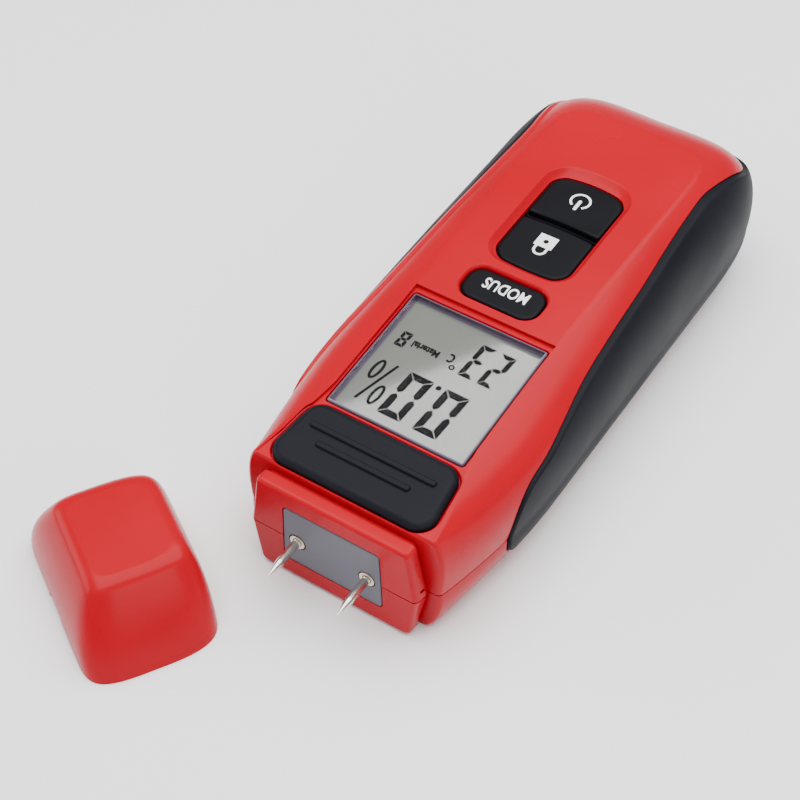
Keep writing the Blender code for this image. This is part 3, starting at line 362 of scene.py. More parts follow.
def peg(name, x, low, high, radius, upright=True, sides=48):
    """A rod: upright at (x, station) from low to high, or lying along Y between stations."""
    middle = (low[1] + high) / 2 if upright else (low + high) / 2
    place = (x, low[0] - LENGTH / 2, middle) if upright else (x, middle - LENGTH / 2, SEAM)
    span = high - (low[1] if upright else low)
    bpy.ops.mesh.primitive_cone_add(
        vertices=sides, radius1=radius * MM, radius2=radius * MM, depth=span * MM,
        location=Vector(place) * MM, rotation=(0, 0, 0) if upright else (-math.pi / 2, 0, 0),
    )
    made = bpy.context.object
    made.name = name
    bpy.ops.object.transform_apply(location=True, rotation=True, scale=True)
    return made


def nose(name):
    """The narrow nose in front of the step, with a rounded front edge and a groove behind."""
    profile = [(1.2 * (1 - math.sin(a)), 0.9 * (1 - math.cos(a))) for a in
               (math.radians(15 * i) for i in range(6, -1, -1))]
    profile += [(3.25, 0.0), (3.4, 0.08), (3.45, 0.8), (STEP + 2, 0.8)]
    rings = []
    for station, shrink in profile:
        half = 21.3 + 0.8 * station / STEP - shrink
        corners = [
            (half, 0.0), (19.2 - shrink, 14.9 - shrink), (shrink - 19.2, 14.9 - shrink), (-half, 0.0),
            (shrink - 19.5, shrink - 13.1), (19.5 - shrink, shrink - 13.1),
        ]
        rings.append([(x, station - LENGTH / 2, SEAM + z) for x, z in rounded(corners, 1.2, 6)])
    return through(name, rings)


gloss_red = finish(
    "gloss_red", (0.38, 0.0003, 0.0085), (0.42, 0.0005, 0.0105), 30, (0.22, 0.28), 2600, 0.000004,
    specular_ior_level=0.1,
)
body_skin = skin("body_skin")
housing = copied(body_skin, "housing")
nose_part = nose("nose_part")
cut(housing, nose_part, how="UNION")
clear_away(nose_part)

# ---------------------------------------------------------------- side grips
# Two strips of soft dark thermoplastic rubber, moulded into a recess along each side and
# round the tail's corner. They stand a little proud of the shell and have rounded edges.

GRIP_EDGE = (  # station and height above the seam, from the front tip over the top
    (25.6, -2.4), (26.0, 1.4), (27.2, 5.6), (29.6, 9.2), (33.6, 11.7), (40.0, 13.3),
    (48.5, 15.6), (60.0, 18.0), (75.0, 19.7), (91.0, 21.0), (103.0, 22.0), (115.0, 22.7),
    (126.0, 22.8), (137.0, 20.6), (147.0, 16.0), (165.0, 9.0), (165.0, -9.6), (120.0, -10.2),
    (60.0, -10.0), (37.0, -9.4), (29.6, -7.6), (26.6, -5.2),
)
GRIP_TAIL = 19.5  # each grip stops this far from the middle of the tail


def eased(points, steps):
    """A closed Catmull-Rom outline through the points."""
    path = []
    for i in range(len(points)):
        a, b, c, d = (Vector(points[(i + k) % len(points)]) for k in (-1, 0, 1, 2))
        for step in range(steps):
            t = step / steps
            path.append(
                (2 * b + (c - a) * t + (2 * a - 5 * b + 4 * c - d) * t ** 2
                 + (3 * b - a - 3 * c + d) * t ** 3) / 2
            )
    return [tuple(p) for p in path]


def grip_blank(name, clearance):
    outline = grown(eased(GRIP_EDGE, 8), clearance)
    return through(name, [
        [(x, station - LENGTH / 2, SEAM + z) for station, z in outline]
        for x in (GRIP_TAIL - clearance, 40.0)
    ])


def grip_rim(surface, clearance):
    """Round the grip's edge on a surface: each place, the way in, and the way out of its wall."""
    tree = BVHTree.FromPolygons(
        [v.co / MM for v in surface.data.vertices], [p.vertices for p in surface.data.polygons]
    )
    inner = GRIP_TAIL - clearance
    hits = []
    for station, z in grown(eased(GRIP_EDGE, 16), clearance):
        spot, normal, *_ = tree.ray_cast(Vector((60, station - LENGTH / 2, SEAM + z)), Vector((-1, 0, 0)))
        hits.append((spot, normal) if spot and spot.x >= inner and normal.x > 0.05 else None)
    gap = next(i for i in range(len(hits)) if hits[i] is None and hits[i - 1] is not None)
    run = [hit for hit in hits[gap:] + hits[:gap] if hit]
    top, bottom = run[-1][0].z, run[0][0].z
    tail = []
    count = int(abs(top - bottom))
    for i in range(count + 1):
        z = top + (bottom - top) * i / count
        spot, normal, *_ = tree.ray_cast(Vector((inner, 120, z)), Vector((0, -1, 0)))
        tail.append((spot, normal))
    wall_out = [Vector((1, 0, 0))] * len(run) + [Vector((0, 1, 0))] * len(tail)
    loop = run + tail
    places, kept = [loop[0][0]], [0]
    for i, (spot, _) in enumerate(loop):
        if (spot - places[-1]).length > 0.8 and (spot - loop[0][0]).length > 0.5:
            places.append(spot)
            kept.append(i)
    middle = Vector((28, 20, SEAM + 4))
    inwards = []
    for k, i in enumerate(kept):
        along = places[(k + 1) % len(places)] - places[k - 1]
        inward = loop[i][1].cross(along).normalized()
        inwards.append(inward if inward.dot(middle - places[k]) > 0 else -inward)
    walls = [wall_out[i] for i in kept]
    for _ in range(2):
        inwards, walls = (
            [(ways[k - 1] + way + ways[(k + 1) % len(ways)]).normalized() for k, way in enumerate(ways)]
            for ways in (inwards, walls)
        )
    return list(zip(places, inwards, walls))


def edge_tool(name, rim, radius, outwards=False):
    """A ring that rounds the edge where a wall meets the skin."""
    rings = []
    for place, inward, wall in rim:
        into = -inward if outwards else inward
        ring = []
        for angle in (172, 160, 147, 134, 121, 108, 98):
            turn = math.radians(angle)
            ring.append(place + into * radius * (1 + math.cos(turn)) + wall * radius * (math.sin(turn) - 1))
        ring += [
            place + into * radius + wall * 0.9, place - into * 0.7 + wall * 0.9,
            place - into * 0.7 - wall * radius,
        ]
        rings.append(ring)
    return through(name, rings, around=True)


def grip_proud(way):
    ease = min(1.0, max(0.0, (way - 0.85) / 0.4))
    return 0.6 + 0.15 * ease * ease * (3 - 2 * ease)


grip_rubber = finish(
    "grip_rubber", (0.0055, 0.0055, 0.0085), (0.008, 0.008, 0.012), 60, (0.48, 0.58), 4200, 0.000006,
    specular_ior_level=0.1,
)
grip_skin = skin("grip_skin", proud=grip_proud)
grip_floor = skin("grip_floor", 1.2, fine=False)
grip_seat = skin("grip_seat", 1.5, fine=False)
blank = grip_blank("blank", 0.0)
right_rim = edge_tool("right_rim", grip_rim(grip_skin, 0.0), 0.6)
right_grip = copied(grip_skin, "side_grip_right")
cut(right_grip, grip_floor)
cut(right_grip, blank, how="INTERSECT")
cut(right_grip, right_rim, folded=True)
left_grip = copied(right_grip, "side_grip_left", mirrored=True)
for grip, node in ((right_grip, "right_grip"), (left_grip, "left_grip")):
    smooth(grip, grip_rubber)
    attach(grip, "case")
    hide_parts(node)

recess = cut(grip_blank("recess", FIT), grip_seat)
recess_edge = edge_tool("recess_edge", grip_rim(body_skin, FIT), 0.3, outwards=True)
other_recess = copied(recess, "other_recess", mirrored=True)
other_edge = copied(recess_edge, "other_edge", mirrored=True)
cut(housing, recess, other_recess)
clear_away(grip_skin, grip_floor, grip_seat, blank, right_rim, recess, other_recess)

# ---------------------------------------------------------------- upper shell
# The upper half of the housing: a flat deck for the thumb pad and display, set a little
# below the arched panel, dished recesses round the keys, and a small slit at each side of
# the nose for the cap's snap. It is hollow, with screw bosses and a ledge under the lens.

DECK_END = 61.8
DECK_TILT = math.radians(4.78)
LENS_MIDDLE = 42.05
LENS_HALF, LENS_HALF_LENGTH = 17.45, 18.0
SCREWS = ((-18.0, 18.0), (18.0, 18.0), (-19.6, 133.0), (19.6, 133.0))
BOARD_SCREWS = ((-16, 66), (16, 121))
BOSS = 2.8  # radius of the bosses and posts round the case screws
KEY_WIDTH = 19.2
PAIR_FRONT, PAIR_BACK = 79.5, 112.6  # the power and hold keys share one opening
PIN_OFFSET = 9.0


def on_deck(x, along, depth=0.0):
    """A place on the deck: along is measured from the lens's middle towards the tail."""
    rise = SEAM + 16.5 + LENS_MIDDLE * math.tan(DECK_TILT)
    return (
        x, LENS_MIDDLE - LENGTH / 2 + along * math.cos(DECK_TILT) + depth * math.sin(DECK_TILT),
        rise + along * math.sin(DECK_TILT) - depth * math.cos(DECK_TILT),
    )


def on_panel(x, station, depth=0.0):
    slope = math.atan2(panel_rise(station + 1) - panel_rise(station - 1), 2)
    return (
        x, station - LENGTH / 2 + depth * math.sin(slope),
        SEAM + panel_rise(station) - depth * math.cos(slope),
    )


def along_deck(outline):
    return [(x, (y - LENS_MIDDLE) / math.cos(DECK_TILT)) for x, y in outline]


def layered(name, surface, layers):
    """A solid whose outlines lie at depths below a surface."""
    return through(name, [[surface(x, y, depth) for x, y in outline] for outline, depth in layers])


def pillow(width, front, back, radii, bows=(0.0, 0.0)):
    """A rounded rectangle whose front and back edges bulge, front and back being their tips."""
    half = width / 2
    near, far = front + bows[0], back - bows[1]
    corners = [(half, near), (half, far), (-half, far), (-half, near)]
    middle = (front + back) / 2
    ends = [rounded(corners, radius, 10) for radius in radii]
    mixed = [a if a[1] < middle else b for a, b in zip(*ends)]
    outline = []
    for i, (x, y) in enumerate(mixed):
        nx, ny = mixed[(i + 1) % len(mixed)]
        count = max(1, int(math.hypot(nx - x, ny - y) / 0.8))
        for step in range(count):
            px, py = x + (nx - x) * step / count, y + (ny - y) * step / count
            share = 1 - (px / half) ** 2
            ahead = (py - near) / (far - near)
            outline.append((px, py + bows[1] * share * ahead - bows[0] * share * (1 - ahead)))
    return outline


above_seam = block("above_seam", (-90, -40, SEAM + SEAM_GAP / 2), (90, 200, 90))
below_seam = block("below_seam", (-90, -40, -40), (90, 200, SEAM - SEAM_GAP / 2))
upper_shell = copied(housing, "housing_top")
cut(upper_shell, above_seam, how="INTERSECT")
cavity = skin("cavity", WALL, fine=False)
boss_limit = skin("boss_limit", 1.6, fine=False)
cut(upper_shell, cavity)
bosses = [peg(f"boss_{i}", x, (y, SEAM + SEAM_GAP / 2), 60, BOSS) for i, (x, y) in enumerate(SCREWS)]
bosses += [peg(f"board_boss_{i}", x, (y, 24.5), 60, 2.2) for i, (x, y) in enumerate(BOARD_SCREWS)]
bosses.append(layered("ledge", on_deck, [
    (pillow(38.9, -20, 20, (0.01, 0.01)), 2.5), (pillow(38.9, -20, 20, (0.01, 0.01)), 0.0),
]))
for boss in bosses:
    cut(boss, boss_limit, how="INTERSECT")
    cut(upper_shell, boss, how="UNION")

deck_side = [(crease_half(s) - 0.5, s) for s in range(2, 61)] + [(crease_half(DECK_END) - 0.5, DECK_END)]
deck_face = along_deck(deck_side + [(-x, y) for x, y in reversed(deck_side)])
lens_seat = pillow(2 * LENS_HALF, -LENS_HALF_LENGTH, LENS_HALF_LENGTH, (0.6, 0.6))
pad_corners = [(20.8, 5.0), (18.9, 22.7), (-18.9, 22.7), (-20.8, 5.0)]
pad_outline = along_deck(rounded(pad_corners, 4.4, 14))
tools = [
    layered("deck_tool", on_deck, [(deck_face, 0.0), (deck_face, -20)]),
    layered("lens_tool", on_deck, [
        (grown(lens_seat, FIT + grow), depth) for grow, depth in
        ((0, 1.6), (0, 0.25), (0.07, 0.1), (0.2, 0.02), (0.35, -0.1), (0.4, -4))
    ]),
    layered("window_tool", on_deck, [(grown(lens_seat, -0.8), 6), (grown(lens_seat, -0.8), 0)]),
    layered("pad_tool", on_deck, [
        (grown(pad_outline, FIT + grow), depth) for grow, depth in
        ((0, 1.0), (0, 0.45), (0.1, 0.2), (0.28, 0.05), (0.5, -0.05), (0.6, -4))
    ]),
]

# The dishes round the keys are wider towards the tail and ease out into the panel.
pair_hole = pillow(KEY_WIDTH, PAIR_FRONT, PAIR_BACK, (3.8, 3.2), (0.7, 1.6))
pair_rim = pillow(22.9, 77.4, 115.5, (5.0, 5.2), (0.9, 2.2))
mode_hole = pillow(19.8, 64.9, 74.4, (3.6, 3.6))
pair_middle = Vector((0, 96.0))
reach = [Vector(p) - pair_middle for p in grown(pair_hole, FIT)]
rim_reach = [Vector(p) - pair_middle for p in pair_rim]


def rim_beyond(away):
    """Where a ray from the middle of the key pair meets the outer edge of their dish."""
    best = away
    for a, b in zip(rim_reach, rim_reach[1:] + rim_reach[:1]):
        side = b - a
        cross = away.x * side.y - away.y * side.x
        if abs(cross) > 1e-9:
            t = (a.x * side.y - a.y * side.x) / cross
            u = (a.x * away.y - a.y * away.x) / cross
            if t > 0 and -1e-6 <= u <= 1 + 1e-6:
                best = away * t
    return best


outer = [rim_beyond(away) for away in reach]
tools.append(layered("pair_dish", on_panel, [
    ([tuple(a + (b - a) * share + pair_middle) for a, b in zip(reach, outer)], depth)
    for share, depth in (
        (0.0, 1.61), (0.0, 1.6), (0.3, 1.22), (0.6, 0.72), (0.82, 0.32), (0.93, 0.13), (1.0, 0.03),
        (1.06, -0.03), (1.1, -3.0),
    )
]))
tools.append(layered("pair_opening", on_panel, [(grown(pair_hole, FIT), 4.4), (grown(pair_hole, FIT), -2)]))
tools.append(layered("mode_dish", on_panel, [
    (grown(mode_hole, FIT + grow), depth) for grow, depth in
    ((0, 0.9), (0.2, 0.5), (0.4, 0.2), (0.62, 0.04), (0.8, -0.05), (0.9, -3))
]))
tools.append(layered("mode_opening", on_panel, [(grown(mode_hole, FIT), 4.4), (grown(mode_hole, FIT), -2)]))
for side in (-1, 1):
    near, far = sorted((side * 20.6, side * 24.4))
    tools.append(block(f"snap_slit_{side}", (near, 1.9, SEAM + 1.7), (far, 3.9, SEAM + 2.5)))
plate_corners = [(12.75, -7.4), (12.1, 9.9), (-12.1, 9.9), (-12.75, -7.4)]
plate_outline = rounded(plate_corners, 1.0, 8)
front_tools = [through("plate_tool", [
    [(x, station - LENGTH / 2, SEAM + z) for x, z in grown(plate_outline, FIT)] for station in (2.0, -5.0)
])]
front_tools += [
    peg(f"socket_tool_{side}", side * PIN_OFFSET, 1.0, 10.4, 3.0, upright=False) for side in (-1, 1)
]
tools += [peg(f"pilot_{i}", x, (y, 0), 22, 1.4, sides=24) for i, (x, y) in enumerate(SCREWS)]
tools += [peg(f"board_pilot_{i}", x, (y, 0), 29.2, 1.3, sides=24) for i, (x, y) in enumerate(BOARD_SCREWS)]
cut(upper_shell, *tools, *front_tools)
cut(upper_shell, recess_edge, other_edge, folded=True)
smooth(upper_shell, gloss_red)
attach(upper_shell, "case")
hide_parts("upper_shell")
clear_away(*bosses, *tools)

# ---------------------------------------------------------------- lower shell and battery door
# The lower half carries four screw posts and the battery bay. The door is a slide-off
# panel at the tail end of the underside, with thumb grooves and a wider lip inside.

lower_shell = copied(housing, "housing_base")
cut(lower_shell, below_seam, how="INTERSECT")
cut(lower_shell, cavity)
posts = [peg(f"post_{i}", x, (y, 0.5), SEAM - SEAM_GAP / 2, BOSS) for i, (x, y) in enumerate(SCREWS)]
for post in posts:
    cut(post, boss_limit, how="INTERSECT")
bay = block("bay", (-16.5, 85.0, 2.0), (16.5, 142.0, 19.6))
bay_room = block("bay_room", (-15.3, 86.2, 0.0), (15.3, 147.0, 30.0))
cut(bay, bay_room)
cut(lower_shell, *posts, bay, how="UNION")


def door_room(name, grow):
    """The door's two-step outline: the inner lip is wider than the outer face."""
    half = 13.6 + grow
    low = block(name, (-half, 87.3 - grow, -20), (half, 175, 1.5))
    lip = block(f"{name}_lip", (-half - 1.2, 87.3 - grow, 1.3 - grow), (half + 1.2, 175, 9.0 + grow))
    cut(low, lip, how="UNION")
    clear_away(lip)
    return low


opening = door_room("opening", FIT)
door_blank = door_room("door_blank", 0.0)
cut(lower_shell, opening, *front_tools)
holes = [peg(f"screw_hole_{i}", x, (y, -1), 30, 1.4, sides=24) for i, (x, y) in enumerate(SCREWS)]
holes += [peg(f"head_hole_{i}", x, (y, -2), 3.1, 2.4) for i, (x, y) in enumerate(SCREWS)]
cut(lower_shell, *holes)
cut(lower_shell, recess_edge, other_edge, folded=True)
smooth(lower_shell, gloss_red)
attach(lower_shell, "case")
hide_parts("lower_shell")

door = copied(body_skin, "battery_cover")
cut(door, door_blank, how="INTERSECT")
door_floor = skin("door_floor", 2.3, fine=False)
grooves = [block(f"groove_{i}", (-7, 92.3 + 2.2 * i, -1), (7, 93.3 + 2.2 * i, 0.5)) for i in range(5)]
cut(door, door_floor, *grooves)
smooth(door, gloss_red)
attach(door, "battery_door")
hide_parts("battery_door")
clear_away(
    housing, cavity, boss_limit, above_seam, below_seam, bay, bay_room, opening, door_blank, door_floor,
    recess_edge, other_edge, *posts, *front_tools, *holes, *grooves,
)

# ---------------------------------------------------------------- thumb pad
# A pad of the same soft rubber as the grips, pressed into a shallow pocket between the
# nose and the display. Its edge is rolled over, and two long ribs stop the thumb.

pad = layered("thumb_rest", on_deck, [
    (grown(pad_outline, -inset), -height) for inset, height in (
        (0, -0.7), (0, 0.1), (0.05, 0.34), (0.2, 0.62), (0.45, 0.9), (0.8, 1.14), (1.15, 1.3),
        (1.45, 1.38), (1.7, 1.4),
    )
])
for name, half, station in (("rear", 15.9, 16.2), ("front", 11.8, 12.4)):
    bar = along_deck(pillow(2 * half, station - 0.75, station + 0.75, (0.7, 0.7)))
    rib = layered(f"rib_{name}", on_deck, [
        (grown(bar, -inset), -height) for inset, height in (
            (-0.25, 0.9), (-0.25, 1.38), (-0.1, 1.46), (0, 1.62), (0.02, 1.8), (0.1, 1.96),
            (0.26, 2.07), (0.45, 2.1),
        )
    ])
    cut(pad, rib, how="UNION")
    clear_away(rib)
smooth(pad, grip_rubber)
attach(pad, "case")
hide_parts("thumb_pad")

# ---------------------------------------------------------------- display
# A clear acrylic lens with a polished bevel, flush in the deck, and a dark border on its
# back; its clear sides and bevel take the border's dark tone as painted shade. Under it the liquid
# crystal display shows a large reading over a temperature and a material number.

lens_clear = finish(
    "lens_clear", (0.96, 0.96, 0.97), (1.0, 1.0, 1.0), 20, (0.02, 0.035), 300, 0.0000002, metallic=1.0,
)
lens_nodes, lens_links = lens_clear.node_tree.nodes, lens_clear.node_tree.links
see_through = lens_nodes.new("ShaderNodeBsdfTransparent")
share = lens_nodes.new("ShaderNodeMixShader")
edge_on = lens_nodes.new("ShaderNodeFresnel")
edge_on.inputs["IOR"].default_value = 1.05
lens_links.new(edge_on.outputs["Fac"], share.inputs["Fac"])
lens_links.new(see_through.outputs["BSDF"], share.inputs[1])
lens_links.new(lens_nodes["Principled BSDF"].outputs["BSDF"], share.inputs[2])
lens_links.new(share.outputs["Shader"], lens_nodes["Material Output"].inputs["Surface"])
# One dark tone serves the border printed on the lens's back and the lens's clear sides and rounded top edge;
# on the sides and edge it is painted shade, standing for the darkness seen in the lens's thickness.
border_print_and_edge_shade = finish(
    "border_print_and_edge_shade", (0.085, 0.07, 0.10), (0.12, 0.10, 0.14), 90, (0.12, 0.2), 900, 0.000002,
    coat_weight=0.5, coat_roughness=0.05,
)
lens = layered("display_window", on_deck, [
    (lens_seat, 1.3), (lens_seat, 0.2), (grown(lens_seat, -0.06), 0.02), (grown(lens_seat, -0.32), -0.15),
    (grown(lens_seat, -0.5), -0.19),
])
smooth(lens, lens_clear, 12)
lens.data.materials.append(border_print_and_edge_shade)
# The lens's sides and rounded top edge get the dark tone: painted shade on clear acrylic.
normal = Vector((0, -math.sin(DECK_TILT), math.cos(DECK_TILT)))
for face in lens.data.polygons:
    if abs(face.normal.dot(normal)) < 0.985:
        face.material_index = 1
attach(lens, "case")
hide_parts("display_lens")

display_film = finish(
    "display_film", (0.138, 0.141, 0.127), (0.15, 0.153, 0.139), 12, (0.04, 0.06), 1500, 0.0000001,
    specular_ior_level=0.95,
)
face_plate = layered("display_face", on_deck, [
    (pillow(33.9, -17.3, 17.1, (0.3, 0.3)), 1.58), (pillow(33.9, -17.3, 17.1, (0.3, 0.3)), 1.42),
])
smooth(face_plate, display_film)
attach(face_plate, "case")

display_ink = finish(
    "display_ink", (0.004, 0.004, 0.004), (0.007, 0.007, 0.008), 40, (0.5, 0.6), 1500, 0.000001,
    specular_ior_level=0.08,
)


def digit(lit, left, top, width, height, stroke, gap, slant):
    """The lit bars of a seven-bar figure, as outlines. Right is the reading direction."""
    w, h, t, g, m = width, height, stroke, gap, height / 2
    bars = {
        "a": [(g, 0), (w - g, 0), (w - t - g, t), (t + g, t)],
        "d": [(t + g, h - t), (w - t - g, h - t), (w - g, h), (g, h)],
        "f": [(0, g), (t, t + g), (t, m - t / 2 - g), (t / 2, m - g), (0, m - t / 2 - g)],
        "e": [(0, h - g), (t, h - t - g), (t, m + t / 2 + g), (t / 2, m + g), (0, m + t / 2 + g)],
        "g": [(t / 2 + g, m), (t + g, m - t / 2), (w - t - g, m - t / 2), (w - t / 2 - g, m),
              (w - t - g, m + t / 2), (t + g, m + t / 2)],
    }
    bars["b"] = [(w - x, y) for x, y in bars["f"]]
    bars["c"] = [(w - x, y) for x, y in bars["e"]]
    return [[(left + x + (h - y) * slant, top + y) for x, y in bars[bar]] for bar in lit]


def printed(name, outlines, bands, surface, depth, thickness):
    """Thin ink: filled outlines, and bands between an outer and an inner loop."""
    shape = bmesh.new()
    for outline in outlines:
        rings = [[shape.verts.new(Vector(surface(x, y, d)) * MM) for x, y in outline]
                 for d in (depth, depth - thickness)]
        shape.faces.new(rings[0])
        shape.faces.new(reversed(rings[1]))
        for i in range(len(outline)):
            j = (i + 1) % len(outline)
            shape.faces.new((rings[0][i], rings[1][i], rings[1][j], rings[0][j]))
    for outside, inside in bands:
        rings = [[shape.verts.new(Vector(surface(x, y, d)) * MM) for x, y in loop]
                 for loop, d in ((outside, depth), (outside, depth - thickness),
                                 (inside, depth - thickness), (inside, depth))]
        for near, far in zip(rings, rings[1:] + rings[:1]):
            for i in range(len(near)):
                j = (i + 1) % len(near)
                shape.faces.new((near[i], near[j], far[j], far[i]))
    return new_piece(name, shape)


def oval(x, y, across, high, turn=0.0, count=40):
    return [(x + across * math.cos(a) + turn * high * math.sin(a), y - high * math.sin(a))
            for a in (math.tau * i / count for i in range(count))]


def lettering(name, word, size, narrow, bold, middle, surface, depth):
    """A word as thin ink, read with +X on the left, centred on a place of a surface."""
    bpy.ops.object.text_add()
    text = bpy.context.object
    text.name = name
    text.data.body = word
    text.data.size = size
    text.data.extrude = 0.015
    text.data.offset = bold
    text.data.resolution_u = 4
    bpy.ops.object.convert(target="MESH")
    made = bpy.context.object
    points = [v.co.copy() for v in made.data.vertices]
    wide = (min(p.x for p in points) + max(p.x for p in points)) / 2
    high = (min(p.y for p in points) + max(p.y for p in points)) / 2
    for vertex, p in zip(made.data.vertices, points):
        vertex.co = Vector(surface(
            middle[0] - (p.x - wide) * narrow, middle[1] - (p.y - high), depth - p.z,
        )) * MM
    shape = bmesh.new()
    shape.from_mesh(made.data)
    bmesh.ops.remove_doubles(shape, verts=shape.verts, dist=1e-7)
    bmesh.ops.recalc_face_normals(shape, faces=shape.faces)
    shape.to_mesh(made.data)
    shape.free()
    return made


def reading(x, y, depth):
    """A place on the deck in the direction of reading: x runs to the viewer's right."""
    return on_deck(-x, y, depth)


figures = digit("abcdef", -9.0, -14.3, 6.1, 13.1, 1.75, 0.16, 0.062)
figures += digit("abcdef", 0.2, -14.2, 6.1, 13.1, 1.75, 0.16, 0.062)
figures += digit("abged", -12.0, 3.5, 3.8, 10.2, 1.25, 0.12, 0.072)
figures += digit("abgcd", -7.1, 3.5, 3.8, 10.2, 1.25, 0.12, 0.072)
figures += digit("abcdefg", 11.6, 3.65, 2.4, 4.55, 0.78, 0.08, 0.065)
figures += [oval(-1.3, -1.98, 0.68, 0.68), [(12.86, -13.5), (13.5, -13.5), (10.0, -1.2), (9.34, -1.2)]]
bands = [
    (oval(9.5, -10.5, 1.3, 3.05, 0.06), oval(9.5, -10.5, 0.58, 2.3, 0.06)),
    (oval(13.3, -4.3, 1.3, 3.05, 0.06), oval(13.3, -4.3, 0.58, 2.3, 0.06)),
    (oval(-0.63, 4.45, 0.72, 0.72), oval(-0.63, 4.45, 0.36, 0.36)),
]
open_c = [(0.95 + 1.0 * math.cos(a), 6.6 - 1.32 * math.sin(a)) for a in
          (math.radians(48 + 11 * i) for i in range(25))]
open_c += [(0.95 + 0.46 * math.cos(a), 6.6 - 0.78 * math.sin(a)) for a in
           (math.radians(48 + 11 * i) for i in range(24, -1, -1))]
ink = printed("display_figures", figures + [open_c], bands, reading, 1.40, 0.03)
words = lettering("display_word", "Material", 2.6, 0.82, 0.1, (-7.1, 5.95), on_deck, 1.38)
border = printed("display_border", [], [(lens_seat, grown(lens_seat, -1.05))], on_deck, 1.36, 0.03)
for print_piece, tone, material_slot in (
    (ink, display_ink, "lcd"), (words, display_ink, "lcd"), (border, border_print_and_edge_shade, "clear_lens"),
):
    smooth(print_piece, tone)
    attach(print_piece, "case")

# ---------------------------------------------------------------- keys
# Three keys of dark silicone rubber that sink into the dishes of the panel, each on its
# own flange and stem. Their symbols are printed in white: power, a padlock and a word.

key_rubber = finish(
    "key_rubber", (0.0025, 0.0025, 0.004), (0.004, 0.004, 0.006), 80, (0.42, 0.52), 4500, 0.000005,
    specular_ior_level=0.1,
)
white_print = finish("white_print", (0.86, 0.86, 0.87), (0.93, 0.93, 0.94), 60, (0.4, 0.5), 3000, 0.000001)
KEYS = (
    ("power", pillow(KEY_WIDTH, 97.5, PAIR_BACK, (0.9, 3.2), (-0.5, 1.6)), 104.85, 1.4),
    ("hold", pillow(KEY_WIDTH, PAIR_FRONT, 95.5, (3.8, 0.9), (0.7, 0.5)), 87.85, 1.4),
    ("mode", mode_hole, 69.65, 0.5),
)
for name, outline, station, sink in KEYS:
    key = layered(f"{name}_button_top", on_panel, [
        (grown(outline, -inset), depth + sink) for inset, depth in
        ((0.0, 3.6 - sink), (0.0, 0.62), (0.05, 0.4), (0.17, 0.22), (0.36, 0.09), (0.6, 0.02), (0.9, 0.0))
    ])
    flange_outline = grown(outline, 0.65)
    flange = layered(f"{name}_flange", on_panel, [(flange_outline, 4.05), (flange_outline, 3.05)])
    stem = peg(f"{name}_stem", 0.0, (station, 29.8), SEAM + panel_rise(station) - 3.4, 2.0)
    cut(key, flange, stem, how="UNION")
    clear_away(flange, stem)
    smooth(key, key_rubber)
    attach(key, f"{name}_button")
    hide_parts(f"{name}_key")


def arc(x, y, radius, start, end, count):
    return [(x + radius * math.sin(a), y + radius * math.cos(a)) for a in
            (math.radians(start + (end - start) * i / count) for i in range(count + 1))]


ring = arc(0.25, 106.05, 2.65, -148, 148, 40) + arc(0.25, 106.05, 2.08, 148, -148, 40)
bar = arc(0.25, 103.05, 0.42, 90, 270, 8) + arc(0.25, 105.95, 0.42, -90, 90, 8)


def panel_reading(x, y, depth):
    return on_panel(-x, y, depth)


power_mark = printed("power_mark", [ring, bar], [], panel_reading, 1.405, 0.03)
shackle = arc(0.35, 86.7, 1.75, 90, 270, 20) + [(-1.4, 88.0), (-0.8, 88.0)]
shackle += arc(0.35, 86.7, 1.15, 270, 90, 20) + [(1.5, 88.0), (2.1, 88.0)]
body = rounded([(-2.0, 87.75), (2.7, 87.75), (2.7, 91.9), (-2.0, 91.9)], 0.15, 3)
lock_mark = printed("lock_mark", [shackle, body], [], panel_reading, 1.405, 0.03)
lock_hole = printed("lock_hole", [arc(0.35, 89.75, 0.66, 0, 350, 28)], [], panel_reading, 1.38, 0.02)
mode_mark = lettering("mode_mark", "MODUS", 4.6, 0.72, 0.075, (0.15, 70.6), on_panel, 0.49)
for mark, key_body, tone in (
    (power_mark, "power_button", white_print), (lock_mark, "hold_button", white_print),
    (lock_hole, "hold_button", key_rubber), (mode_mark, "mode_button", white_print),
):
    smooth(mark, tone)
    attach(mark, key_body)

# ---------------------------------------------------------------- electrode plate and pins
# A grey insulating plate set flush in the nose face. Two polished steel pins with long
# points screw into brass sockets that show as a ring in the plate.

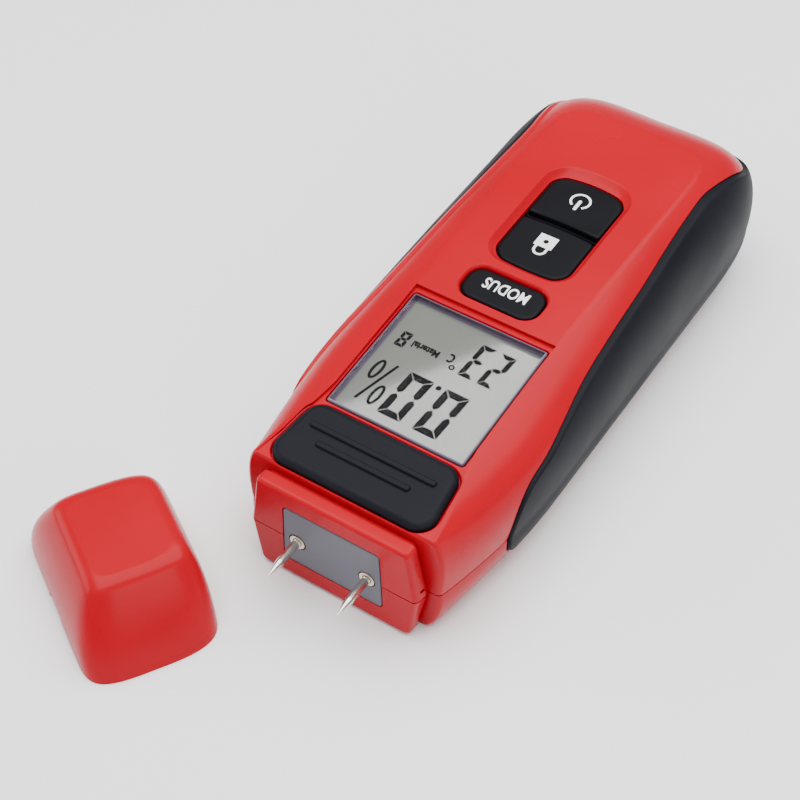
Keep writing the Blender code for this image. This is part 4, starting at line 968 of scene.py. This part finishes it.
plate_grey = finish(
    "plate_grey", (0.085, 0.085, 0.11), (0.105, 0.105, 0.13), 50, (0.34, 0.44), 3200, 0.000006,
    specular_ior_level=0.3,
)
plate = through("pin_plate", [
    [(x, station - LENGTH / 2, SEAM + z) for x, z in grown(plate_outline, -inset)]
    for station, inset in (
        (1.7, 0), (0.1, 0), (-0.02, 0.05), (-0.1, 0.16), (-0.12, 0.32), (-0.05, 0.42), (-0.02, 0.6),
    )
])
pin_steel = finish(
    "pin_steel", (0.56, 0.52, 0.48), (0.70, 0.66, 0.60), 220, (0.16, 0.28), 1800, 0.000004, metallic=1.0,
)
socket_brass = finish(
    "socket_brass", (0.62, 0.55, 0.42), (0.74, 0.66, 0.50), 300, (0.25, 0.4), 2500, 0.000005, metallic=1.0,
)
for side, name in ((-1, "left"), (1, "right")):
    hole = peg(f"{name}_hole", side * PIN_OFFSET, -3.0, 4.0, 2.2, upright=False)
    cut(plate, hole)
    socket = peg(f"socket_{name}", side * PIN_OFFSET, -0.1, 3.0, 1.9, upright=False)
    core = peg(f"core_{name}", side * PIN_OFFSET, 2.1, 12.0, 2.7, upright=False)
    bore = peg(f"bore_{name}", side * PIN_OFFSET, -1.0, 10.0, 1.15, upright=False)
    cut(socket, core, how="UNION")
    cut(socket, bore)
    smooth(socket, socket_brass)
    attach(socket, "case")
    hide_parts(f"{name}_socket")
    profile = (
        (9.0, 0.9), (8.9, 1.0), (-0.35, 1.0), (-0.45, 0.9), (-0.6, 0.9), (-0.7, 1.0), (-6.2, 1.0),
        (-6.6, 0.985), (-7.2, 0.92), (-8.4, 0.7), (-9.6, 0.42), (-10.6, 0.2), (-11.05, 0.1), (-11.2, 0.03),
    )
    pin = through(f"pin_{name}", [
        [(side * PIN_OFFSET + r * math.cos(a), station - LENGTH / 2, SEAM + r * math.sin(a))
         for a in (math.tau * i / 48 for i in range(48))] for station, r in profile
    ])
    smooth(pin, pin_steel)
    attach(pin, "case")
    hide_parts(f"{name}_pin")
    clear_away(hole, core, bore)
smooth(plate, plate_grey)
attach(plate, "case")
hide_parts("electrode_plate")

# ---------------------------------------------------------------- protective cap
# A cap of the same red ABS that covers the nose and pins. It stands on its open rim, and
# a notch in the rim of its underside's wall takes a fingernail.

CAP_STAND = Matrix.Translation((-41.9, -23.7 - LENGTH / 2, 0)) @ Matrix.Rotation(math.radians(-31.9), 4, "Z")


def cap_layers(less, depth, start=0.0):
    """Rings of the cap from its rim up to its closed end, moved inwards by less."""
    shares = [0, 0.02, 0.1, 0.2, 0.3, 0.4, 0.5, 0.6, 0.68, 0.75, 0.81, 0.86, 0.9, 0.93, 0.95, 0.965, 0.977,
              0.987, 0.994, 0.998, 1.0]
    rings = []
    for share in shares:
        ends, panel, under = (
            1 - t * share ** p for t, p in ((0.45, 1.35), (0.18, 3.5), (0.47, 2.0))
        )
        turn = max(0.0, (share - 0.9) / 0.1)
        edge = 2.3 * (1 - math.sqrt(max(0.0, 1 - turn ** 2.2)))
        ring = []
        for i in range(128):
            angle = math.tau * (i + 0.5) / 128
            c, s = math.cos(angle), math.sin(angle)
            rise, flat, round_off = (17.4 * panel, 8, 3.3) if s > 0 else (14.0 * under, 10, 3.2)
            ring.append(Vector((
                math.copysign(abs(c) ** (2 / flat), c) * (24.2 * ends - less - edge),
                math.copysign(abs(s) ** (2 / round_off), s) * (rise - less - edge),
                share * depth if share else start,
            )))
        rings.append([CAP_STAND @ p for p in ring])
    return rings


outside = cap_layers(0.0, 19.5)
cap = through("pin_cap", outside)
hollow = through("cap_hollow", cap_layers(1.8, 17.7, -1.0))
bpy.ops.mesh.primitive_cube_add(size=1, location=(0, 0, 0))
notch = bpy.context.object
for vertex in notch.data.vertices:
    x, y, z = vertex.co
    vertex.co = (CAP_STAND @ Vector((x * 7.6, -14.1 + y * 4.8, 0.4 + z * 2.8))) * MM
cut(cap, hollow, notch)
clear_away(hollow, notch)
smooth(cap, gloss_red)
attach(cap, "cap")
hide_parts("protective_cap")

# ---------------------------------------------------------------- inside
# The circuit board, its switches, the battery with its snap connector and leads, the
# display's holder and contact strips, and the screws keep their solids and get finishes.

METAL = {"metallic": 1.0}
INSIDE = (
    ("black_moulding", (0.016, 0.016, 0.018), (0.026, 0.026, 0.028), 70, (0.4, 0.55), 3000, 0.000006, {},
     "lcd_holder controller_chip temperature_sensor power_plunger hold_plunger mode_plunger "
     "battery_connector"),
    ("solder_mask", (0.012, 0.10, 0.04), (0.022, 0.15, 0.06), 160, (0.3, 0.45), 1400, 0.000008, {},
     "main_board"),
    ("zinc_plate", (0.52, 0.53, 0.55), (0.66, 0.67, 0.69), 400, (0.28, 0.42), 3000, 0.000006, METAL,
     "power_switch hold_switch mode_switch case_screw_front_left case_screw_front_right "
     "case_screw_rear_left case_screw_rear_right board_screw_front board_screw_rear"),
    ("spring_brass", (0.60, 0.44, 0.18), (0.74, 0.56, 0.26), 300, (0.25, 0.4), 2500, 0.000005, METAL,
     "left_contact right_contact"),
    ("strip_silicone", (0.42, 0.29, 0.34), (0.54, 0.38, 0.43), 250, (0.55, 0.7), 2500, 0.00001, {},
     "contact_strip_front contact_strip_rear"),
    ("battery_sleeve", (0.07, 0.07, 0.09), (0.12, 0.12, 0.14), 60, (0.28, 0.42), 1200, 0.000008, {},
     "battery"),
    ("open_foam", (0.035, 0.035, 0.035), (0.075, 0.075, 0.075), 900, (0.9, 1.0), 1600, 0.0002, {},
     "foam_pad"),
    ("red_sleeve", (0.50, 0.012, 0.012), (0.64, 0.02, 0.02), 200, (0.35, 0.5), 2000, 0.000006, {},
     "battery_lead_positive"),
    ("black_sleeve", (0.014, 0.014, 0.014), (0.028, 0.028, 0.028), 200, (0.35, 0.5), 2000, 0.000006, {},
     "battery_lead_negative"),
    ("display_glass", (0.38, 0.40, 0.36), (0.44, 0.46, 0.42), 40, (0.1, 0.18), 900, 0.000001, {},
     "lcd_glass"),
)
for name, low, high, patch, rough, grain, depth, sockets, nodes in INSIDE:
    inner_finish = finish(name, low, high, patch, rough, grain, depth, **sockets)
    for node in nodes.split():
        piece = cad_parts[node]
        for material_slot in piece.material_slots:
            material_slot.material = inner_finish

pale = finish("pale_table", (0.93, 0.93, 0.935), (0.95, 0.95, 0.955), 3, (0.55, 0.6), 60, 0.00001)
table_top.data.materials.append(pale)
clear_away(body_skin)
